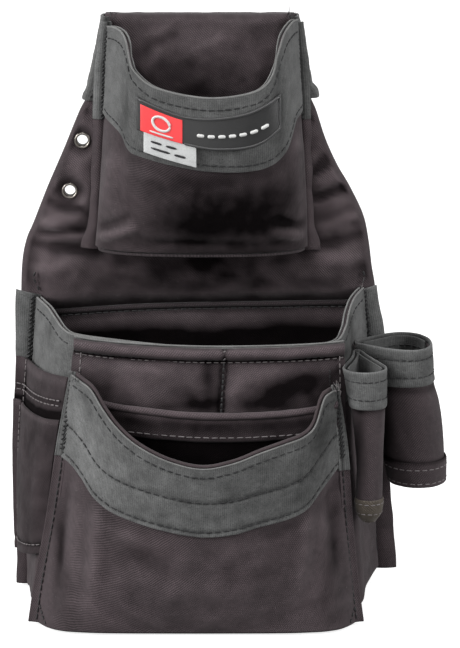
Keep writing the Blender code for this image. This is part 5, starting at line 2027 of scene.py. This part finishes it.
def small_wall(grow, z_top, z_bottom):
    """Its rear is drawn back to the seam it shares with the large sleeve."""
    def surface(across, down):
        z = mix(z_top, z_bottom, down)
        radius = ease(z, SMALL_RADIUS)
        turn = 2 * math.pi * across - math.pi / 2
        cosine, sine = math.cos(turn), math.sin(turn)
        back = clamp(-sine) ** 3.4 * ease(z, SMALL_PULL)
        x = mix(ease(z, SMALL_X) + radius * cosine, 88.4 + 1.7 * cosine / (abs(cosine) + 0.25),
                back)
        depth = mix(70.4 + radius * sine * 0.98, 50.5, back)
        z += 4.6 * back * (1 - down)
        if back > 0.02:
            normal = Vector((math.copysign(1.0, cosine) * (0.3 + 0.7 * abs(cosine)),
                             sine * (1 - back), 0))
        else:
            normal = Vector((cosine, sine * (1 - 0.8 * back), 0))
        normal.normalize()
        return Vector((x, depth, z)) + normal * grow
    return surface


# Painted shade down the sleeve's left side and just under the band, a little painted light right
# of centre.
def small_tone(across, down, point):
    spots = [(88, -190, 3.5, 40, -3, -0.8), (97, -180, 3, 30, 0, 0.15)]
    return shade(point.x, point.z, spots) - 0.5 * bell(down, 0.232, 0.02)


def small_band_bump(across, down, point):
    return (round_wrinkles(across, down, 0.2, 2, 2)
            - 0.35 * bell(down, 0.26, 0.05) - 0.35 * bell(down, 0.76, 0.05))


# Painted shade and light on the band, painted light along its top.
def small_band_tone(across, down, point):
    spots = [(81.5, -152, 3.5, 14, 0, -0.9), (92, -150, 4, 12, 0, 0.2),
             (103, -152, 2.5, 12, 0, -0.4)]
    return 0.1 + shade(point.x, point.z, spots) + 0.35 * (1 - smooth(down, 0.0, 0.08))


tube_cloth("small_sleeve_cloth", small_wall(0.0, -143.6, -229.0), cells=(60, 60), thick=1.4,
           material=FABRIC, place=SMALL, tone=small_tone,
           bump=lambda across, down, point: round_wrinkles(across, down, 0.35, 1.4, 3)
           * smooth(down, 0, 0.1),
           replaces=["small_sleeve_tube"])
small_band = small_wall(1.2, -140.8, -162.0)
tube_cloth("small_sleeve_webbing", small_band, cells=(60, 18), thick=1.2, material=WEBBING,
           place=SMALL, bump=small_band_bump, tone=small_band_tone,
           replaces=["small_sleeve_band"])
# The lining is painted in shade, deeper down the sleeve.
cloth("small_sleeve_lining", section(small_wall(-1.3, -141.2, -162.0), 0.74, 1.26),
      cells=(50, 12), thick=0.9, material=WEBBING, place=SMALL,
      tone=lambda across, down, point: -0.3 - 0.7 * smooth(down, 0.15, 0.7))
stitches("small_sleeve_band_stitches",
         [ring_row(small_band, down, 0.45) for down in (0.26, 0.76)],
         THREAD, SMALL, seed=93, pitch=3.6, length=2.8, radius=0.36)
small_tip = small_wall(1.1, -216.5, -229.6)
tube_cloth("small_sleeve_tip", small_tip, cells=(60, 16), thick=1.0, material=WORN, place=SMALL,
           bump=lambda across, down, point: round_wrinkles(across, down, 0.3, 2, 3),
           replaces=["small_sleeve_hem"])
stitches("small_sleeve_tip_stitches",
         [ring_row(small_tip, down, 0.5, count=48) for down in (0.16, 0.6)],
         LIT_THREAD, SMALL, seed=94, pitch=3.4, length=2.6, radius=0.36)

# ------------------------------------------------------------------ label
# The label's upper and lower edges: (across, z).
LABEL_LEFT, LABEL_RIGHT = -33.0, 43.6
LABEL_TOP = [(0, 9.3), (0.23, 2.0), (0.37, -0.7), (0.56, -1.1), (0.76, 1.2), (0.89, 5.3),
             (1, 10.7)]
LABEL_BOTTOM = [(0, -8.6), (0.2, -13.2), (0.43, -17.6), (0.57, -18.9), (0.77, -18.2),
                (0.9, -14.6), (1, -7.9)]
LABEL_LIFT = BAND_LIFT + 1.3
label_places = {}


def label_place(across, down):
    """A label place as (across, down) on the upper pocket; repeated places are remembered."""
    key = (round(across, 5), round(down, 5))
    if key not in label_places:
        x = mix(LABEL_LEFT, LABEL_RIGHT, across)
        z = mix(ease(across, LABEL_TOP), ease(across, LABEL_BOTTOM), down)
        host = sum(upper.bracket(x, z, 0.2, 0.86, steps=13)) / 2
        label_places[key] = (host, upper.down_at(host, z))
    return label_places[key]


def label_surface(across, down):
    return upper(*label_place(across, down))


def label_cord(name, spots, lift, radius, material, **options):
    surface_cord(name, upper, [label_place(*spot) for spot in spots], LABEL_LIFT + lift,
                 radius, material, UPPER_BODY, **options)


cloth("label_base", label_surface, cells=(70, 16), thick=1.6, material=RUBBER,
      place=UPPER_BODY, lift=LABEL_LIFT, replaces=["label_patch"], round_edge=0.4)
cloth("label_red_panel", section(label_surface, 0.03, 0.318, 0.16, 0.97), cells=(26, 14),
      thick=0.8, material=RED, place=UPPER_BODY, lift=LABEL_LIFT + 0.95,
      replaces=["label_field"], round_edge=0.2)
label_cord("label_bead",
           [(across, 0.05) for across in spread(0.012, 0.985, 60)]
           + [(0.988, down) for down in spread(0.06, 0.94, 10)]
           + [(across, 0.95) for across in spread(0.985, 0.33, 60)],
           lift=0.85, radius=0.7, material=RUBBER_BEAD)
# A plain ring with a bar under it.
label_cord("label_ring",
           [(0.172 + 0.058 * math.cos(turn), 0.52 + 0.22 * math.sin(turn))
            for turn in spread(0, 2 * math.pi, 36)],
           lift=1.45, radius=0.75, material=WHITE, replaces=["label_emblem"])
label_cord("label_bar", [(across, 0.86) for across in spread(0.095, 0.255, 12)], lift=1.4,
           radius=0.5, material=WHITE)
# A row of plain raised dashes along the rubber.
for k in range(7):
    start = 0.42 + 0.074 * k
    label_cord(f"label_dash_{k + 1}",
               [(across, 0.58) for across in spread(start, start + 0.05, 6)],
               lift=0.95, radius=1.0, material=WHITE)

# ------------------------------------------------------------------ tag
# The tag's joint lies just below the line it is sewn on.
TAG = joint(UPPER_BODY, "tag_body", (-19.7, 62.31, -17.31), (-20.2, 62.15, -21.3))


def tag_surface(across, down):
    host = label_place(mix(0.05, 0.415, across), 1.0)
    lift = BAND_LIFT + 1.5 + 0.5 * math.sin(2.4 * down)
    point = upper(*host) + normal_at(upper, *host, FRONT) * lift
    return Vector((point.x, point.y + 0.2, point.z + 0.8 - 11.6 * down))


cloth("tag_cloth", tag_surface, cells=(24, 12), thick=0.7, material=TAG_WEAVE, place=TAG,
      replaces=["side_tag"], round_edge=0.2)
# Printed dashes: (start, end, down).
TAG_DASHES = [(0.14, 0.34, 0.36), (0.42, 0.62, 0.36), (0.14, 0.5, 0.66), (0.58, 0.8, 0.66)]
for k, (start, end, down) in enumerate(TAG_DASHES):
    surface_cord(f"tag_dash_{k + 1}", tag_surface,
                 [(across, down) for across in spread(start, end, 6)], lift=0.45,
                 radius=0.75, material=INK, place=TAG, flatten=0.5)


# ------------------------------------------------------------------ loose thread ends
def fray(name, centre, direction, count, length, material, place, seed, radius=0.22):
    """A tuft of thin, bent, three-sided threads."""
    random = np.random.RandomState(seed)
    bm = bmesh.new()
    for _ in range(count):
        along = Vector(direction) + Vector(random.uniform(-0.9, 0.9, 3))
        along.normalize()
        bend = Vector(random.uniform(-0.7, 0.7, 3))
        size = length * random.uniform(0.5, 1.1)
        root = Vector(centre) + Vector(random.uniform(-1.6, 1.6, 3))
        side = along.cross(Vector((0.3, 1, 0.2))).normalized()
        top = side.cross(along)
        rings = []
        for t in spread(0, 1, 5):
            point = root + along * (size * t) + bend * (size * 0.5 * t * t)
            thick = radius * (1 - 0.5 * t)
            rings.append([bm.verts.new(world(*(point
                                               + side * (thick * math.cos(2 * math.pi / 3 * k))
                                               + top * (thick * math.sin(2 * math.pi / 3 * k)))))
                          for k in range(3)])
        add_quads(bm, rings, 5, 3, flip=True, is_smooth=False)
        close_tube(bm, rings)
    dress(mesh_object(name, bm, material), place)


# Name ending, centre, direction, count, length, material, place, seed.
THREAD_ENDS = [
    ("top_left", (-48, 20, 47.5), (0.2, 0.4, 0.9), 9, 4.0, THREAD, ROOT, 101),
    ("top_right", (50, 20, 48), (0.6, 0.4, 0.9), 14, 5.0, THREAD, ROOT, 102),
    ("right_mouth", (93, 22, -107), (-0.3, 0.8, 0.5), 6, 6.0, LIT_THREAD, ROOT, 103),
    ("sleeve_joint", (88.5, 47, -136.5), (-0.1, 0.7, 0.7), 16, 4.5, LIT_THREAD, ROOT, 105),
    ("sleeve_joint_dark", (88.5, 48, -138), (-0.2, 0.7, 0.3), 14, 5.0, THREAD, ROOT, 106),
    ("tip", (94, 73, -227.5), (0, 0.6, -0.5), 8, 3.0, LIT_THREAD, SMALL, 107, 0.18),
    ("front_ear", (77, 78, -151.0), (0.2, 0.6, 0.6), 7, 4.0, LIT_THREAD, FACE, 108),
    ("front_ear_left", (-68, 78, -146.0), (-0.2, 0.6, 0.6), 5, 3.2, THREAD, FACE, 109),
    ("pocket_foot", (62, 22, -76), (0.8, 0.5, 0.0), 5, 3.5, THREAD, ROOT, 104),
]  # The tip's threads also give their radius.
for word, *tuft in THREAD_ENDS:
    fray(f"thread_ends_{word}", *tuft)


# ------------------------------------------------------------------ stage, light, camera
# From here on, lengths are in metres and directions are the world's.
def studio_material():
    """White paper to the camera; it bounces only a little light, so the cloth keeps contrast."""
    material, graph, shader = start_material("studio_white")
    seen = graph.new("ShaderNodeLightPath").outputs["Is Camera Ray"]
    graph.link(graph.blend(seen, (0.3, 0.3, 0.3), (0.6, 0.6, 0.6)),
               shader.inputs["Base Color"])
    shader.inputs["Roughness"].default_value = 0.95
    shader.inputs["Specular IOR Level"].default_value = 0.0
    shader.inputs["Emission Color"].default_value = (1, 1, 1, 1)
    graph.link(graph.multiply(seen, 0.78), shader.inputs["Emission Strength"])
    return material


def studio_sweep():
    """A floor that curves up into a wall behind the pouch."""
    floor_z = CAD_BOX[0][2] - 0.0004
    profile = [(-1.6, 0.0), (1.1, 0.0)]  # (y, height)
    for k in range(1, 13):
        turn = math.pi / 2 * k / 12
        profile.append((1.1 + 0.9 * math.sin(turn), 0.9 - 0.9 * math.cos(turn)))
    profile.append((2.0, 3.4))
    bm = bmesh.new()
    lines = [[bm.verts.new((x, y, floor_z + height)) for x in (-3.0, 3.0)]
             for y, height in profile]
    add_quads(bm, lines, len(lines) - 1, 1, flip=True)
    mesh_object("studio_sweep", bm, studio_material(), outward=False)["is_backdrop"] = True


def aim(obj, direction):
    obj.rotation_euler = direction.to_track_quat("-Z", "Y").to_euler()


def area_light(name, location, size, power, size_y=None):
    data = bpy.data.lights.new(name, "AREA")
    data.energy = power
    data.size = size
    if size_y:
        data.shape = "RECTANGLE"
        data.size_y = size_y
    light = link(bpy.data.objects.new(name, data))
    light.location = location
    aim(light, Vector((0.0, -0.05, -0.12)) - Vector(location))


def studio_world(scene):
    """Behind the sweep the camera sees white; the cloth gets only a dim fill."""
    studio = bpy.data.worlds.new("studio")
    scene.world = studio
    studio.use_nodes = True
    background = studio.node_tree.nodes["Background"]
    background.inputs[0].default_value = (1, 1, 1, 1)
    graph = Graph(studio.node_tree)
    seen = graph.new("ShaderNodeLightPath").outputs["Is Camera Ray"]
    graph.link(graph.add(graph.multiply(seen, 0.87), 0.13), background.inputs[1])


def studio_camera(scene, elevation=15.0, distance=1.7, view_width=0.36288):
    """Looks toward +Y from elevation degrees above; view_width is seen at the distance."""
    data = bpy.data.cameras.new("camera")
    camera = link(bpy.data.objects.new("camera", data))
    angle = math.radians(elevation)
    look = Vector((0, math.cos(angle), -math.sin(angle)))
    camera.location = Vector((0.017, -0.042, -0.121)) - look * distance
    aim(camera, look)
    data.sensor_width = 36.0
    data.lens = distance / view_width * 36.0
    data.clip_end = 20
    scene.camera = camera


scene = bpy.context.scene
studio_sweep()
area_light("key_left", (-1.7, -0.75, 0.75), size=0.8, power=50, size_y=1.2)
area_light("key_right", (1.8, -0.6, 0.7), size=0.8, power=31, size_y=1.2)
area_light("top_soft", (0.0, -0.5, 1.9), size=1.0, power=16)
area_light("front_fill", (-0.4, -2.4, 0.1), size=1.0, power=8)
studio_world(scene)
scene.view_settings.view_transform = "Standard"
scene.view_settings.look = "None"
studio_camera(scene)


def plain(box):
    return [[float(value) for value in corner] for corner in (box[0], box[1])]


{"cad": plain(CAD_BOX), "visual": plain(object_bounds())}
